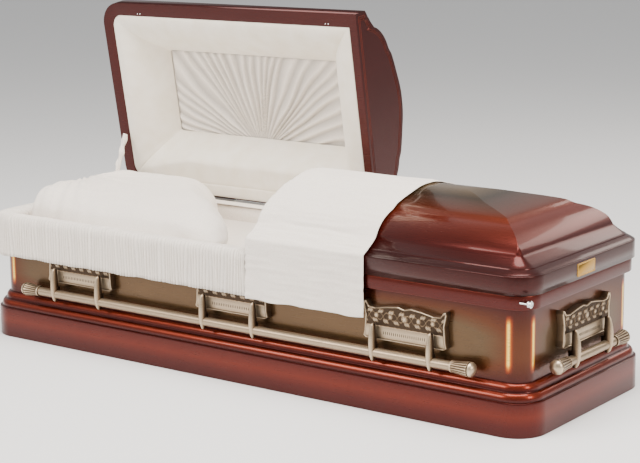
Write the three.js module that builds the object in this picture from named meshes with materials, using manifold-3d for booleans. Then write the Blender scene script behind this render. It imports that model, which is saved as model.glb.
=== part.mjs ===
// Half-couch metal funeral casket with its head panel open, in millimetres, +Z up.
// X runs along its length from the head end (-X) to the foot end (+X), -Y is the front long side
// and +Y the hinge side. The origin is the centre of the underside.
import * as THREE from "three";
import { mergeVertices } from "three/addons/utils/BufferGeometryUtils.js";
import Module from "manifold-3d";

const wasm = await Module();
wasm.setup();

// Driving dimensions of the case
const LENGTH = 2108; // over the skirt, head end to foot end
const WIDTH = 711; // over the skirt, front to back
const CORNER_RADIUS = 94; // of the skirt's corners in plan
const CORNER_STEPS = 4; // facets of each rounded corner
const SHEET = 1.2; // steel sheet
const CLEAR = 0.3; // between pieces that meet
const SKIRT_HEIGHT = 100;
const HEM_WIDTH = 20; // of the skirt's turned-in lower edge
const MOULDING_HEIGHT = 48; // stepped moulding between skirt and wall
const MOULDING_STEP = 3; // riser between its bands
const LAND_WIDTH = 8; // flat land along the top of the skirt
const PAN_RIM = 30; // upturned edge of the bottom panel
const BODY_INSET = 39; // of the wall behind the skirt
const LEDGE_INSET = 19; // of the top moulding's face
const LEDGE_BOTTOM = 359;
const LEDGE_TOP = 398;
const LEDGE_FLANGE = 45; // width of the top moulding's upper face

// Driving dimensions of the two lid panels
const LID_GAP = 3; // between top moulding and lid rims
const RIM_INSET = 11;
const RIM_HEIGHT = 54;
const RIM_FLANGE = 45; // return flange under each lid
const HEADER_FLANGE = 31; // return flange along its cut end
const SHOULDER_RISE = 41; // from rim top to the foot of the convex band
const BAND_WIDTH = 84; // of the convex band, in plan
const BAND_RISE = 67;
const SHOULDER_WIDTH = 65; // from rim face to the convex band, in plan
const CREASE_STEP = 14; // rise of the small step above the convex band
const CREASE_WIDTH = 24;
const RIDGE_WIDTH = 74; // sloping band between crease and ridge
const RIDGE_RISE = 21;
const CROWN_RISE = 15; // of the crown above the ridge
const CROWN_FLAT = 10; // half width of its flat top
const CROWN_END = 45; // how much further the ridge and crown stop from each end
const SPLIT_X = 69; // where the head panel meets the foot panel
const SPLIT_GAP = 6;
const OPEN_ANGLE = 80.5; // of the head panel, degrees from closed

// Hinges
const HINGE_RADIUS = 4;
const HINGE_DROP = 2; // of the hinge axis below the lid rims
const HINGE_LEAF = 26; // height of each leaf
const HINGE_END = 170; // from the ends of a lid to the ends of its hinge
const KNUCKLES = 5;
const KNUCKLE_GAP = 1;

// Bed and lining
const PAD_GAP = 3; // between soft pieces
const LINING_THICK = 20;
const LINING_DROP = 160; // depth of the side lining
const MATTRESS_TOP = 348;
const MATTRESS_THICK = 116;
const BED_RAIL = 25;
const BED_SLATS = 4;
const PILLOW_HEIGHT = 152;
const PILLOW_LENGTH = 900;
const PILLOW_STEPS = 4; // points of each curved stretch of its outline
const ROLL_DEPTH = 112; // of the lid lining's recess
const ROLL_WIDTH = 150; // of its sloping padded sides, in plan
const ROLL_THICK = 22;
const CAP_THICK = 6; // of the panel at the bottom of the recess
const OVERLAY_DROP = 122; // of the gathered cloth below the lid gap
const OVERLAY_PROUD = 9; // of the gathered cloth beyond the lid rim's face
const OVERLAY_THICK = 10;
const OVERLAY_CROWN = 20; // height of its roll above the ledge
const THROW_THICK = 6;
const THROW_LENGTH = 431; // along the casket
const THROW_DROP = 129; // below the lid gap
const STAY_RADIUS = 9;
const STAY_UP = 215; // from the hinge to where the lid stay meets the open lid's rim
const STAY_FOOT = 148; // from its lower end to the back of the case
const STAY_BOW = 34; // how far it sags towards the front
const STAY_TWIST = 8; // how far it wanders along the case

// Handles
const OUTER_PLATE = 418; // from an end of the case to the middle of the nearest plate
const WALL_PLATE_PITCH = LENGTH / 2 - OUTER_PLATE; // between the plates of a long side
const PLATE_WIDTH = 286;
const PLATE_HEIGHT = 112;
const PLATE_DEPTH = 25;
const PLATE_BOTTOM = 213;
const PLATE_FLARE = 12; // how far the scrolled corners stand out
const RELIEF = 4; // height of the plate's ornament
const LEAVES = 6; // on each side of the plate's middle
const LEAF = { length: 11, breadth: 6, turn: 0.6 };
const ROSETTE = 15; // half width of the ornament in the middle
const PLATE_BORDER = 2; // around the plate's plain lower band
const ARM_PITCH = 196; // between the two arms of a plate
const ARM_THICK = 18;
const ARM_DEPTH = 38;
const ARM_BELOW = 27; // below the bar's axis
const ARM_NECK = 5; // least half depth of an arm
const ARM_STEPS = 5; // points of each side of its outline
const EYE_SIDES = 10;
const PIVOT_RADIUS = 9;
const PIVOT_HEIGHT = 255;
const PIVOT_OFF = 37; // of the handle's pivot line from the wall
const BAR_RADIUS = 14;
const BAR_HEIGHT = 178;
const BAR_END = 249; // from an end of the case to a long bar's tip
const SIDE_BAR_LENGTH = LENGTH - 2 * BAR_END; // between the two tips' inner ends
const END_BAR_LENGTH = 276;
const TIP_LENGTH = 78;
const TIP_RADIUS = 22;
const TIP_SOCKET = 20; // how far a bar reaches into its tip
const TIP_PLAY = 2; // beyond the bar's end in its socket
const TIP_WALL = 4; // at the tip's mouth
const TURNED_SIDES = 12; // facets of the turned pieces

// Small fittings
const PLAQUE = { width: 104, height: 38, thick: 1.5, shift: -22 };
const TUBE_CAP = { radius: 10.5, thick: 9, stem: 3.2, fromFront: 30.5, z: 381, out: 6 };

const WALL_Y = WIDTH / 2 - BODY_INSET;
const WALL_X = LENGTH / 2 - BODY_INSET;
const WALL_BASE = SKIRT_HEIGHT + MOULDING_HEIGHT;
const LID_Z = LEDGE_TOP + LID_GAP;
const HINGE_Y = WIDTH / 2 - RIM_INSET + HINGE_RADIUS + CLEAR;
const HINGE_Z = LID_Z - HINGE_DROP;
const OPEN = THREE.MathUtils.degToRad(OPEN_ANGLE);

// Materials
const paint = (color, roughness) => new THREE.MeshStandardMaterial({ color, roughness, metalness: 0.4 });
const finishes = {
  cherry: paint(0x5c2620, 0.15),
  bronze: paint(0x7a5a3e, 0.25),
  steel: new THREE.MeshStandardMaterial({ color: 0x8a8a8a, roughness: 0.5, metalness: 0.8 }),
  hardware: new THREE.MeshStandardMaterial({ color: 0xa8906f, roughness: 0.35, metalness: 0.9 }),
  brass: new THREE.MeshStandardMaterial({ color: 0xb08d45, roughness: 0.3, metalness: 0.9 }),
  chrome: new THREE.MeshStandardMaterial({ color: 0xdddddd, roughness: 0.1, metalness: 1 }),
  crepe: new THREE.MeshStandardMaterial({ color: 0xeee8e2, roughness: 0.9, metalness: 0 }),
};

// Geometry helpers

// A closed outline round a rectangle with rounded corners, anticlockwise from above.
function roundedLoop(x0, x1, y0, y1, radius, z) {
  const leastRadius = 2;
  const r = Math.max(radius, leastRadius);
  const corners = [
    [x1 - r, y0 + r, -90],
    [x1 - r, y1 - r, 0],
    [x0 + r, y1 - r, 90],
    [x0 + r, y0 + r, 180],
  ];
  const points = [];
  for (const [cx, cy, from] of corners)
    for (let i = 0; i <= CORNER_STEPS; i++) {
      const a = THREE.MathUtils.degToRad(from + (90 * i) / CORNER_STEPS);
      points.push(new THREE.Vector3(cx + r * Math.cos(a), cy + r * Math.sin(a), z));
    }
  return points;
}

// The skirt's outline moved inwards, with its ends moved by a further amount.
function caseLoop(inset, z, endInset = inset) {
  const x = LENGTH / 2 - endInset;
  const y = WIDTH / 2 - inset;
  return roundedLoop(-x, x, -y, y, CORNER_RADIUS - inset, z);
}

function faceOut(geometry) {
  const p = geometry.getAttribute("position");
  const index = geometry.index.array;
  const a = new THREE.Vector3();
  const b = new THREE.Vector3();
  const c = new THREE.Vector3();
  let volume = 0;
  for (let i = 0; i < index.length; i += 3) {
    a.fromBufferAttribute(p, index[i]);
    b.fromBufferAttribute(p, index[i + 1]);
    c.fromBufferAttribute(p, index[i + 2]);
    volume += a.dot(b.cross(c));
  }
  if (volume < 0)
    for (let i = 0; i < index.length; i += 3) [index[i], index[i + 1]] = [index[i + 1], index[i]];
  return geometry;
}

// Skin over a row of loops with equal counts: a ring where it closes, or a solid with flat ends.
function skin(loops, closed = false) {
  const n = loops[0].length;
  const positions = loops.flat().flatMap((v) => [v.x, v.y, v.z]);
  const index = [];
  const rows = closed ? loops.length : loops.length - 1;
  for (let k = 0; k < rows; k++)
    for (let i = 0; i < n; i++) {
      const a = k * n + i;
      const b = k * n + ((i + 1) % n);
      const c = ((k + 1) % loops.length) * n + i;
      const d = ((k + 1) % loops.length) * n + ((i + 1) % n);
      index.push(a, b, d, a, d, c);
    }
  if (!closed) {
    const last = (loops.length - 1) * n;
    for (let i = 1; i < n - 1; i++) {
      index.push(0, i + 1, i);
      index.push(last, last + i, last + i + 1);
    }
  }
  const geometry = new THREE.BufferGeometry();
  geometry.setAttribute("position", new THREE.Float32BufferAttribute(positions, 3));
  geometry.setIndex(index);
  return faceOut(geometry);
}

function bare(geometry) {
  const copy = geometry.clone();
  copy.deleteAttribute("normal");
  copy.deleteAttribute("uv");
  return mergeVertices(copy, 1e-3);
}

function solid(geometry) {
  const g = bare(geometry);
  return new wasm.Manifold(
    new wasm.Mesh({
      numProp: 3,
      vertProperties: new Float32Array(g.getAttribute("position").array),
      triVerts: new Uint32Array(g.index.array),
    }),
  );
}

function geometryOf(manifold) {
  const m = manifold.getMesh();
  const geometry = new THREE.BufferGeometry();
  geometry.setAttribute("position", new THREE.BufferAttribute(new Float32Array(m.vertProperties), 3));
  geometry.setIndex(new THREE.BufferAttribute(new Uint32Array(m.triVerts), 1));
  return geometry;
}

function box(x0, x1, y0, y1, z0, z1) {
  const g = new THREE.BoxGeometry(x1 - x0, y1 - y0, z1 - z0);
  return g.translate((x0 + x1) / 2, (y0 + y1) / 2, (z0 + z1) / 2);
}

function mesh(name, geometry, finish) {
  const m = new THREE.Mesh(geometry, finishes[finish]);
  m.name = name;
  return m;
}

// A ring round the case from a closed section of [inset, height] points.
function caseRing(section) {
  return skin(section.map(([inset, z]) => caseLoop(inset, z)), true);
}

// Quarter-round band: from [inset, z] it bulges outwards to [inset + run, z + rise].
function quarterRound(inset, z, run, rise, steps) {
  const points = [];
  for (let i = 0; i <= steps; i++) {
    const a = (Math.PI / 2) * (i / steps);
    points.push([inset + run * (1 - Math.cos(a)), z + rise * Math.sin(a)]);
  }
  return points;
}

// Case

function baseMoulding() {
  const top = BODY_INSET - CLEAR;
  const bandRise = (MOULDING_HEIGHT - 2 * MOULDING_STEP) / 2;
  const bandRun = (top - LAND_WIDTH - SHEET) / 2;
  const outer = [
    [0, 0],
    [0, SKIRT_HEIGHT - MOULDING_STEP],
    [SHEET, SKIRT_HEIGHT - SHEET],
    [LAND_WIDTH, SKIRT_HEIGHT],
    ...quarterRound(LAND_WIDTH, SKIRT_HEIGHT + MOULDING_STEP, bandRun, bandRise, 3),
    ...quarterRound(LAND_WIDTH + bandRun + SHEET, WALL_BASE - bandRise, bandRun, bandRise, 3),
  ];
  const inner = [
    [top, WALL_BASE - 2 * SHEET],
    [LAND_WIDTH + 2 * SHEET, SKIRT_HEIGHT - SHEET],
    [SHEET, SKIRT_HEIGHT - MOULDING_STEP - SHEET],
    [SHEET, SHEET],
    [HEM_WIDTH, SHEET],
    [HEM_WIDTH, 0],
  ];
  return caseRing([...outer, ...inner]);
}

function bottomPanel() {
  const edge = HEM_WIDTH + CLEAR;
  return skin([
    caseLoop(edge, 0),
    caseLoop(edge, PAN_RIM),
    caseLoop(edge + SHEET, PAN_RIM),
    caseLoop(edge + SHEET, SHEET),
  ]);
}

function bodyShell() {
  const foot = SHEET + CLEAR;
  const top = LEDGE_BOTTOM - CLEAR;
  return caseRing([
    [BODY_INSET, foot],
    [BODY_INSET, top],
    [BODY_INSET + SHEET, top],
    [BODY_INSET + SHEET, foot],
  ]);
}

function topMoulding() {
  const lip = LEDGE_INSET + LEDGE_FLANGE;
  const inside = LEDGE_INSET + SHEET;
  return caseRing([
    [inside, LEDGE_BOTTOM],
    [LEDGE_INSET, LEDGE_BOTTOM + SHEET],
    [LEDGE_INSET, LEDGE_TOP - SHEET],
    [inside, LEDGE_TOP],
    [lip, LEDGE_TOP],
    [lip, LEDGE_TOP - SHEET],
    [inside, LEDGE_TOP - SHEET],
    [inside, LEDGE_BOTTOM + SHEET],
    [BODY_INSET + SHEET, LEDGE_BOTTOM + SHEET],
    [BODY_INSET + SHEET, LEDGE_BOTTOM],
  ]);
}

// Lids: loops of [inset, height above the rim's foot, extra inset of the ends], from rim to crown.
// The plain section leaves out the points between the folds, for the hidden inner face.
function lidSection(plain = false) {
  const shoulder = RIM_INSET + SHOULDER_WIDTH;
  const shoulderTop = RIM_HEIGHT + SHOULDER_RISE;
  const bead = SHOULDER_WIDTH * 0.4;
  const section = [
    [RIM_INSET, 0],
    [RIM_INSET, RIM_HEIGHT - SHEET],
  ];
  if (!plain) section.push([RIM_INSET + 2 * SHEET, RIM_HEIGHT]);
  section.push([RIM_INSET + bead, RIM_HEIGHT + SHOULDER_RISE * 0.3]);
  if (!plain)
    section.push(
      [RIM_INSET + bead + SHEET, RIM_HEIGHT + SHOULDER_RISE * 0.36],
      [RIM_INSET + SHOULDER_WIDTH * 0.78, RIM_HEIGHT + SHOULDER_RISE * 0.72],
    );
  section.push([shoulder, shoulderTop]);
  const bandSteps = plain ? 2 : 4;
  for (let i = 1; i <= bandSteps; i++) {
    const t = i / bandSteps;
    const a = (Math.PI / 2) * t;
    section.push([
      shoulder + BAND_WIDTH * (0.45 * t + 0.55 * (1 - Math.cos(a))),
      shoulderTop + BAND_RISE * (0.45 * t + 0.55 * Math.sin(a)),
    ]);
  }
  const band = shoulder + BAND_WIDTH;
  const crease = band + CREASE_WIDTH;
  const ridge = crease + RIDGE_WIDTH;
  const creaseZ = shoulderTop + BAND_RISE + CREASE_STEP;
  const ridgeZ = creaseZ + RIDGE_RISE;
  if (!plain) section.push([crease - 2 * SHEET, creaseZ - SHEET]);
  section.push([crease, creaseZ]);
  const crown = WIDTH / 2 - CROWN_FLAT - ridge;
  if (!plain) section.push([(crease + ridge) / 2, creaseZ + RIDGE_RISE * 0.56, CROWN_END / 2]);
  for (let i = 0; i <= 2; i++)
    section.push([
      ridge + (crown * i) / 2,
      ridgeZ + CROWN_RISE * Math.sin((Math.PI / 2) * (i / 2)),
      CROWN_END * (1 + 0.3 * i),
    ]);
  return section.map(([inset, w, extra = 0]) => ({ inset, w, extra }));
}

// The closed dome over the whole case, moved inwards by an amount all over.
function dome(inwards, foot = 0, plain = false) {
  const loops = lidSection(plain).map(({ inset, w, extra }, i) =>
    caseLoop(inset + inwards, LID_Z + (i === 0 ? foot : w - inwards), inset + inwards + extra),
  );
  return solid(skin(loops));
}

const FAR = LENGTH; // beyond every piece
const HEAD_END_X = SPLIT_X - SPLIT_GAP / 2;
const FOOT_END_X = SPLIT_X + SPLIT_GAP / 2;

// One lid panel between two stations: sheet dome, return flange and the header across its cut end.
function lidShell(x0, x1, headerX0, headerX1) {
  const half = solid(box(x0, x1, -FAR, FAR, 0, FAR));
  const outer = dome(0);
  const shell = outer.subtract(dome(SHEET, -SHEET, true)).intersect(half);
  const lip = RIM_INSET + RIM_FLANGE;
  const flange = solid(
    caseRing([
      [RIM_INSET + SHEET / 2, LID_Z],
      [RIM_INSET + SHEET / 2, LID_Z + SHEET],
      [lip, LID_Z + SHEET],
      [lip, LID_Z],
    ]),
  ).intersect(half);
  const y = WIDTH / 2 - RIM_INSET - SHEET;
  const header = outer.intersect(solid(box(headerX0, headerX1, -FAR, FAR, 0, FAR)));
  const headerLip = headerX0 > x0 ? [x1 - HEADER_FLANGE, x1] : [x0, x0 + HEADER_FLANGE];
  const headerFlange = solid(box(headerLip[0], headerLip[1], -y, y, LID_Z, LID_Z + SHEET));
  return geometryOf(shell.add(flange).add(header).add(headerFlange));
}

function lidLoop(x0, x1, inset, z, radius) {
  const y = WIDTH / 2 - inset;
  return roundedLoop(x0, x1, -y, y, radius, z);
}

// The recess of a lid's lining: four padded sides that slope in from the flange.
function liningRolls(x0, x1, edge, thick, depth, width) {
  const z = LID_Z + SHEET + CLEAR;
  const loop = (inwards, up) =>
    lidLoop(x0 + inwards, x1 - inwards, edge + inwards, z + up, CORNER_RADIUS / 2 - inwards / 4);
  return skin(
    [
      loop(PAD_GAP, 0),
      loop(PAD_GAP, thick / 2),
      loop(width - thick, depth),
      loop(width, depth),
      loop(width * 0.82, depth * 0.62),
      loop(width * 0.42, depth * 0.16),
      loop(width * 0.12, 0),
    ],
    true,
  );
}

// The panel at the bottom of a recess.
function liningPanel(x0, x1, edge, depth, width) {
  const z = LID_Z + SHEET + CLEAR + depth + PAD_GAP;
  const inwards = width - ROLL_THICK / 2;
  const radius = CORNER_RADIUS / 4;
  return skin([
    lidLoop(x0 + inwards, x1 - inwards, edge + inwards, z, radius),
    lidLoop(x0 + inwards, x1 - inwards, edge + inwards, z + CAP_THICK, radius),
  ]);
}

// Hinges: a leaf on the case and one on the lid, with knuckles in turn round one axis.
function hingeLeaf(x0, x1, forLid) {
  const y = HINGE_Y;
  const z = HINGE_Z;
  const r = HINGE_RADIUS;
  const face = forLid ? WIDTH / 2 - RIM_INSET + CLEAR : WIDTH / 2 - LEDGE_INSET + CLEAR;
  const plate = forLid
    ? box(x0, x1, face, face + SHEET, z + r + SHEET, z + r + HINGE_LEAF)
    : box(x0, x1, face, face + SHEET, z - r - HINGE_LEAF, z - r - SHEET);
  let leaf = solid(plate);
  const pitch = (x1 - x0) / KNUCKLES;
  const side = forLid ? 1 : -1;
  for (let k = forLid ? 1 : 0; k < KNUCKLES; k += 2) {
    const shape = new THREE.Shape();
    shape.moveTo(face, z + side * (r + 2 * SHEET));
    shape.lineTo(face, z + side * r * 0.9);
    for (let i = 0; i <= 5; i++) {
      const a = -Math.PI * 0.75 + (i * Math.PI * 1.3) / 5;
      shape.lineTo(y + r * Math.cos(a), z - side * r * Math.sin(-a));
    }
    shape.lineTo(face + SHEET + CLEAR, z + side * (r + 2 * SHEET));
    const length = pitch - KNUCKLE_GAP;
    const knuckle = new THREE.ExtrudeGeometry(shape, { depth: length, bevelEnabled: false });
    const toWorld = new THREE.Matrix4().makeBasis(
      new THREE.Vector3(0, 1, 0),
      new THREE.Vector3(0, 0, 1),
      new THREE.Vector3(1, 0, 0),
    );
    knuckle.applyMatrix4(toWorld).translate(x0 + k * pitch + KNUCKLE_GAP / 2, 0, 0);
    leaf = leaf.add(solid(knuckle));
  }
  return geometryOf(leaf);
}

// Bed

function bedFrame() {
  const floor = SHEET + CLEAR;
  const top = MATTRESS_TOP - MATTRESS_THICK - PAD_GAP;
  const x = WALL_X - CORNER_RADIUS;
  const y = WALL_Y - CORNER_RADIUS / 2;
  const rail = BED_RAIL;
  const bars = [
    box(-x, x, -y, -y + rail, top - rail, top),
    box(-x, x, y - rail, y, top - rail, top),
  ];
  for (let i = 0; i <= BED_SLATS; i++) {
    const at = -x + ((2 * x - rail) * i) / BED_SLATS;
    bars.push(box(at, at + rail, -y, y, top - rail, top));
  }
  for (const sx of [-x, x - rail])
    for (const sy of [-y, y - rail]) bars.push(box(sx, sx + rail, sy, sy + rail, floor, top));
  return geometryOf(bars.map(solid).reduce((a, b) => a.add(b)));
}

function mattress() {
  const edge = BODY_INSET + SHEET + 2 * PAD_GAP + LINING_THICK;
  const low = MATTRESS_TOP - MATTRESS_THICK;
  const soft = MATTRESS_THICK / 5;
  return skin([
    caseLoop(edge + soft, low),
    caseLoop(edge, low + soft),
    caseLoop(edge, MATTRESS_TOP - soft),
    caseLoop(edge + soft, MATTRESS_TOP),
  ]);
}

function sideLining() {
  const outer = BODY_INSET + SHEET + PAD_GAP;
  const inner = outer + LINING_THICK;
  const top = LEDGE_TOP - SHEET - PAD_GAP;
  return caseRing([
    [outer, top - LINING_DROP],
    [outer, top],
    [inner, top],
    [inner + PAD_GAP / 3, top - LINING_DROP / 3],
    [inner, top - LINING_DROP],
  ]);
}

// The large pillow: straight along the front, its far foot-side corner swept off.
// Its outline is in shares of its own length and half width.
function pillow() {
  const edge = LEDGE_INSET + LEDGE_FLANGE + OVERLAY_THICK + 2 * PAD_GAP;
  const half = WIDTH / 2 - edge;
  const at = (along, across) => [-LENGTH / 2 + edge + PILLOW_LENGTH * along, half * across];
  const outline = new THREE.Shape();
  outline.moveTo(...at(0.067, -0.97));
  outline.lineTo(...at(0.856, -1));
  outline.quadraticCurveTo(...at(1, -1), ...at(0.972, -0.746));
  outline.bezierCurveTo(...at(0.922, -0.218), ...at(0.633, 0.218), ...at(0.556, 0.726));
  outline.quadraticCurveTo(...at(0.511, 1), ...at(0.378, 1));
  outline.lineTo(...at(0.067, 1));
  outline.quadraticCurveTo(...at(0, 1), ...at(0, 0.746));
  outline.lineTo(...at(0, -0.71));
  outline.quadraticCurveTo(...at(0, -0.97), ...at(0.067, -0.97));
  const plan = outline.getPoints(PILLOW_STEPS);
  plan.pop();
  const centre = new THREE.Vector2(...at(0.411, 0.218));
  const base = MATTRESS_TOP + PAD_GAP;
  const levels = [
    [0, 0.9],
    [0.12, 0.985],
    [0.3, 1],
    [0.55, 0.9],
    [0.8, 0.66],
    [0.94, 0.4],
    [1, 0.12],
  ];
  return skin(
    levels.map(([up, grow]) =>
      plan.map(
        (p) =>
          new THREE.Vector3(
            centre.x + (p.x - centre.x) * grow,
            centre.y + (p.y - centre.y) * grow,
            base + PILLOW_HEIGHT * up,
          ),
      ),
    ),
  );
}

// Gathered cloth over the ledge: an inverted J from inside the case to halfway down its outside,
// along the front of the head section and round the head end.
function overlay() {
  const out = RIM_INSET - OVERLAY_PROUD;
  const inside = LEDGE_INSET + LEDGE_FLANGE + PAD_GAP;
  const top = LEDGE_TOP + OVERLAY_CROWN;
  const low = LID_Z - OVERLAY_DROP;
  const section = [
    [out + PAD_GAP, low],
    [out, top - OVERLAY_CROWN / 2],
    [out + OVERLAY_THICK, top],
    [inside, top],
    [inside + OVERLAY_THICK, LEDGE_TOP],
    [inside + OVERLAY_THICK, MATTRESS_TOP + 2 * PAD_GAP],
    [inside, MATTRESS_TOP + 2 * PAD_GAP],
    [inside, LEDGE_TOP + PAD_GAP],
    [out + OVERLAY_THICK, LEDGE_TOP + PAD_GAP],
    [out + OVERLAY_THICK, low],
  ];
  const headCorner = solid(box(-FAR, FOOT_END_X - SPLIT_GAP, -FAR, WIDTH / 2 - 2 * CORNER_RADIUS, 0, FAR));
  const ring = solid(caseRing(section)).intersect(headCorner);
  // the far side of the ring isn't part of the cloth
  const away = solid(box(-LENGTH / 2 + 2 * CORNER_RADIUS, FAR, 0, FAR, 0, FAR));
  return geometryOf(ring.subtract(away));
}

// Cloth thrown over the head end of the foot panel, hanging down its front.
function throwCloth() {
  const x0 = FOOT_END_X;
  const x1 = x0 + THROW_LENGTH;
  const slab = solid(box(x0, x1, -FAR, WIDTH / 2 - 2 * CORNER_RADIUS, 0, FAR));
  const cover = dome(-THROW_THICK - PAD_GAP, -THROW_DROP).subtract(dome(-PAD_GAP, -THROW_DROP - 1));
  return geometryOf(cover.intersect(slab));
}

// Twisted cloth strap between the open lid's rim and the case at the head end.
function lidStay() {
  const swing = (v, w) =>
    new THREE.Vector2(
      HINGE_Y - v * Math.cos(OPEN) + w * Math.sin(OPEN),
      HINGE_Z + v * Math.sin(OPEN) + w * Math.cos(OPEN),
    );
  const high = swing(STAY_UP, -STAY_RADIUS - PAD_GAP);
  const x = -LENGTH / 2 + RIM_INSET + RIM_FLANGE;
  const low = new THREE.Vector3(x, WIDTH / 2 - STAY_FOOT, LEDGE_TOP + STAY_RADIUS + PAD_GAP);
  const route = new THREE.CatmullRomCurve3([
    new THREE.Vector3(x - STAY_TWIST, high.x, high.y),
    new THREE.Vector3(x - STAY_TWIST / 2, high.x - STAY_BOW, (high.y * 2 + low.z) / 3),
    new THREE.Vector3(x + STAY_TWIST, low.y + STAY_BOW * 0.8, (high.y + low.z * 2) / 3 - STAY_TWIST),
    low,
  ]);
  const section = new THREE.Shape();
  for (let i = 0; i < 8; i++) {
    const a = (i * Math.PI) / 4;
    const p = [STAY_RADIUS * Math.cos(a), STAY_RADIUS * Math.sin(a)];
    if (i === 0) section.moveTo(...p);
    else section.lineTo(...p);
  }
  section.closePath();
  return bare(new THREE.ExtrudeGeometry(section, { steps: 10, extrudePath: route }));
}

// Handles: every piece is made at the front wall's frame, u along the wall, out from it, up.

function platePoints() {
  const half = PLATE_WIDTH / 2;
  const h = PLATE_HEIGHT;
  return [
    [0, h * 0.9],
    [half * 0.16, h * 0.95],
    [half * 0.42, h * 0.91],
    [half * 0.72, h * 0.84],
    [half * 0.88, h * 0.86],
    [half * 0.97, h],
    [half, h * 0.94],
    [half - PLATE_FLARE * 0.7, h * 0.62],
    [half - PLATE_FLARE * 0.4, h * 0.2],
    [half, h * 0.06],
    [half - PLATE_FLARE, 0],
  ];
}

// A prism with its outline in the wall's plane, from one distance off the wall to another.
function wallPrism(points, from, to) {
  const shape = new THREE.Shape(points.map(([u, w]) => new THREE.Vector2(u, w)));
  const g = new THREE.ExtrudeGeometry(shape, { depth: to - from, bevelEnabled: false });
  return g.rotateX(Math.PI / 2).translate(0, -from, 0);
}

// A low leaf: a four-sided pyramid whose foot lies in the plate's face.
function leafSolid(u, w, length, breadth, turn, face) {
  const g = new THREE.ConeGeometry(1, RELIEF * 2, 4);
  g.scale(length, 1, breadth);
  g.rotateY(turn);
  g.rotateX(Math.PI);
  return solid(g.translate(u, -face, w));
}

function plate() {
  const half = platePoints();
  const outline = [...half, ...half.slice(1).reverse().map(([u, w]) => [-u, w])];
  const face = PLATE_DEPTH - RELIEF;
  let body = solid(wallPrism(outline, CLEAR, face));
  const h = PLATE_HEIGHT;
  const bandTop = h * 0.4;
  const bandHalf = PLATE_WIDTH / 2 - PLATE_FLARE * 1.4;
  const band = [
    [-bandHalf, PLATE_BORDER],
    [bandHalf, PLATE_BORDER],
    [bandHalf, bandTop],
    [-bandHalf, bandTop],
  ];
  body = body.add(solid(wallPrism(band, face - 1, PLATE_DEPTH)));
  body = body.add(leafSolid(0, h * 0.66, ROSETTE, ROSETTE, Math.PI / 4, face));
  for (let i = 1; i <= LEAVES; i++)
    for (const side of [-1, 1]) {
      const u = side * (ROSETTE * 0.7 + (i * (bandHalf - ROSETTE)) / LEAVES);
      const w = h * (0.64 + 0.1 * (i % 2 ? 1 : -1));
      const turn = side * (i % 2 ? LEAF.turn : -LEAF.turn);
      body = body.add(leafSolid(u, w, LEAF.length, LEAF.breadth, turn, face));
    }
  for (const side of [-1, 1]) {
    const u = (side * ARM_PITCH) / 2;
    const lug = wallPrism(
      [
        [u - PIVOT_RADIUS, PIVOT_HEIGHT - PLATE_BOTTOM - PIVOT_RADIUS],
        [u + PIVOT_RADIUS, PIVOT_HEIGHT - PLATE_BOTTOM - PIVOT_RADIUS],
        [u + PIVOT_RADIUS, PIVOT_HEIGHT - PLATE_BOTTOM + PIVOT_RADIUS],
        [u - PIVOT_RADIUS, PIVOT_HEIGHT - PLATE_BOTTOM + PIVOT_RADIUS],
      ],
      face,
      PIVOT_OFF - PIVOT_RADIUS - CLEAR,
    );
    body = body.add(solid(lug));
  }
  return geometryOf(body).translate(0, 0, PLATE_BOTTOM);
}

// An almond-shaped arm that hangs from its pivot and holds the bar in a round eye.
function arm() {
  const low = BAR_HEIGHT - ARM_BELOW;
  const top = PIVOT_HEIGHT + PIVOT_RADIUS;
  const shape = new THREE.Shape();
  const halfDepth = (t) => Math.max((ARM_DEPTH / 2) * Math.sin(Math.PI * t ** 0.72) ** 0.7, ARM_NECK);
  shape.moveTo(-PIVOT_OFF + ARM_NECK, low);
  for (let i = 1; i <= ARM_STEPS; i++) {
    const t = i / (ARM_STEPS + 1);
    shape.lineTo(-PIVOT_OFF - halfDepth(t), low + (top - low) * t);
  }
  shape.lineTo(-PIVOT_OFF, top);
  for (let i = ARM_STEPS; i >= 1; i--) {
    const t = i / (ARM_STEPS + 1);
    const height = low + (top - low) * t;
    const limit = height > PLATE_BOTTOM - PIVOT_RADIUS ? PIVOT_RADIUS : ARM_DEPTH;
    shape.lineTo(-PIVOT_OFF + Math.min(halfDepth(t), limit), height);
  }
  shape.closePath();
  const eye = new THREE.Path();
  const r = (BAR_RADIUS + CLEAR) / Math.cos(Math.PI / EYE_SIDES);
  for (let i = 0; i < EYE_SIDES; i++) {
    const a = (2 * Math.PI * i) / EYE_SIDES;
    const p = [-PIVOT_OFF + r * Math.cos(a), BAR_HEIGHT + r * Math.sin(a)];
    if (i === 0) eye.moveTo(...p);
    else eye.lineTo(...p);
  }
  shape.holes.push(eye);
  const g = new THREE.ExtrudeGeometry(shape, { depth: ARM_THICK, bevelEnabled: false });
  const toWall = new THREE.Matrix4().makeBasis(
    new THREE.Vector3(0, 1, 0),
    new THREE.Vector3(0, 0, 1),
    new THREE.Vector3(1, 0, 0),
  );
  return g.applyMatrix4(toWall).translate(-ARM_THICK / 2, 0, 0);
}

function bar(length) {
  const g = new THREE.CylinderGeometry(BAR_RADIUS, BAR_RADIUS, length + 2 * TIP_SOCKET, 16);
  return g.rotateZ(Math.PI / 2).translate(0, -PIVOT_OFF, BAR_HEIGHT);
}

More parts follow.
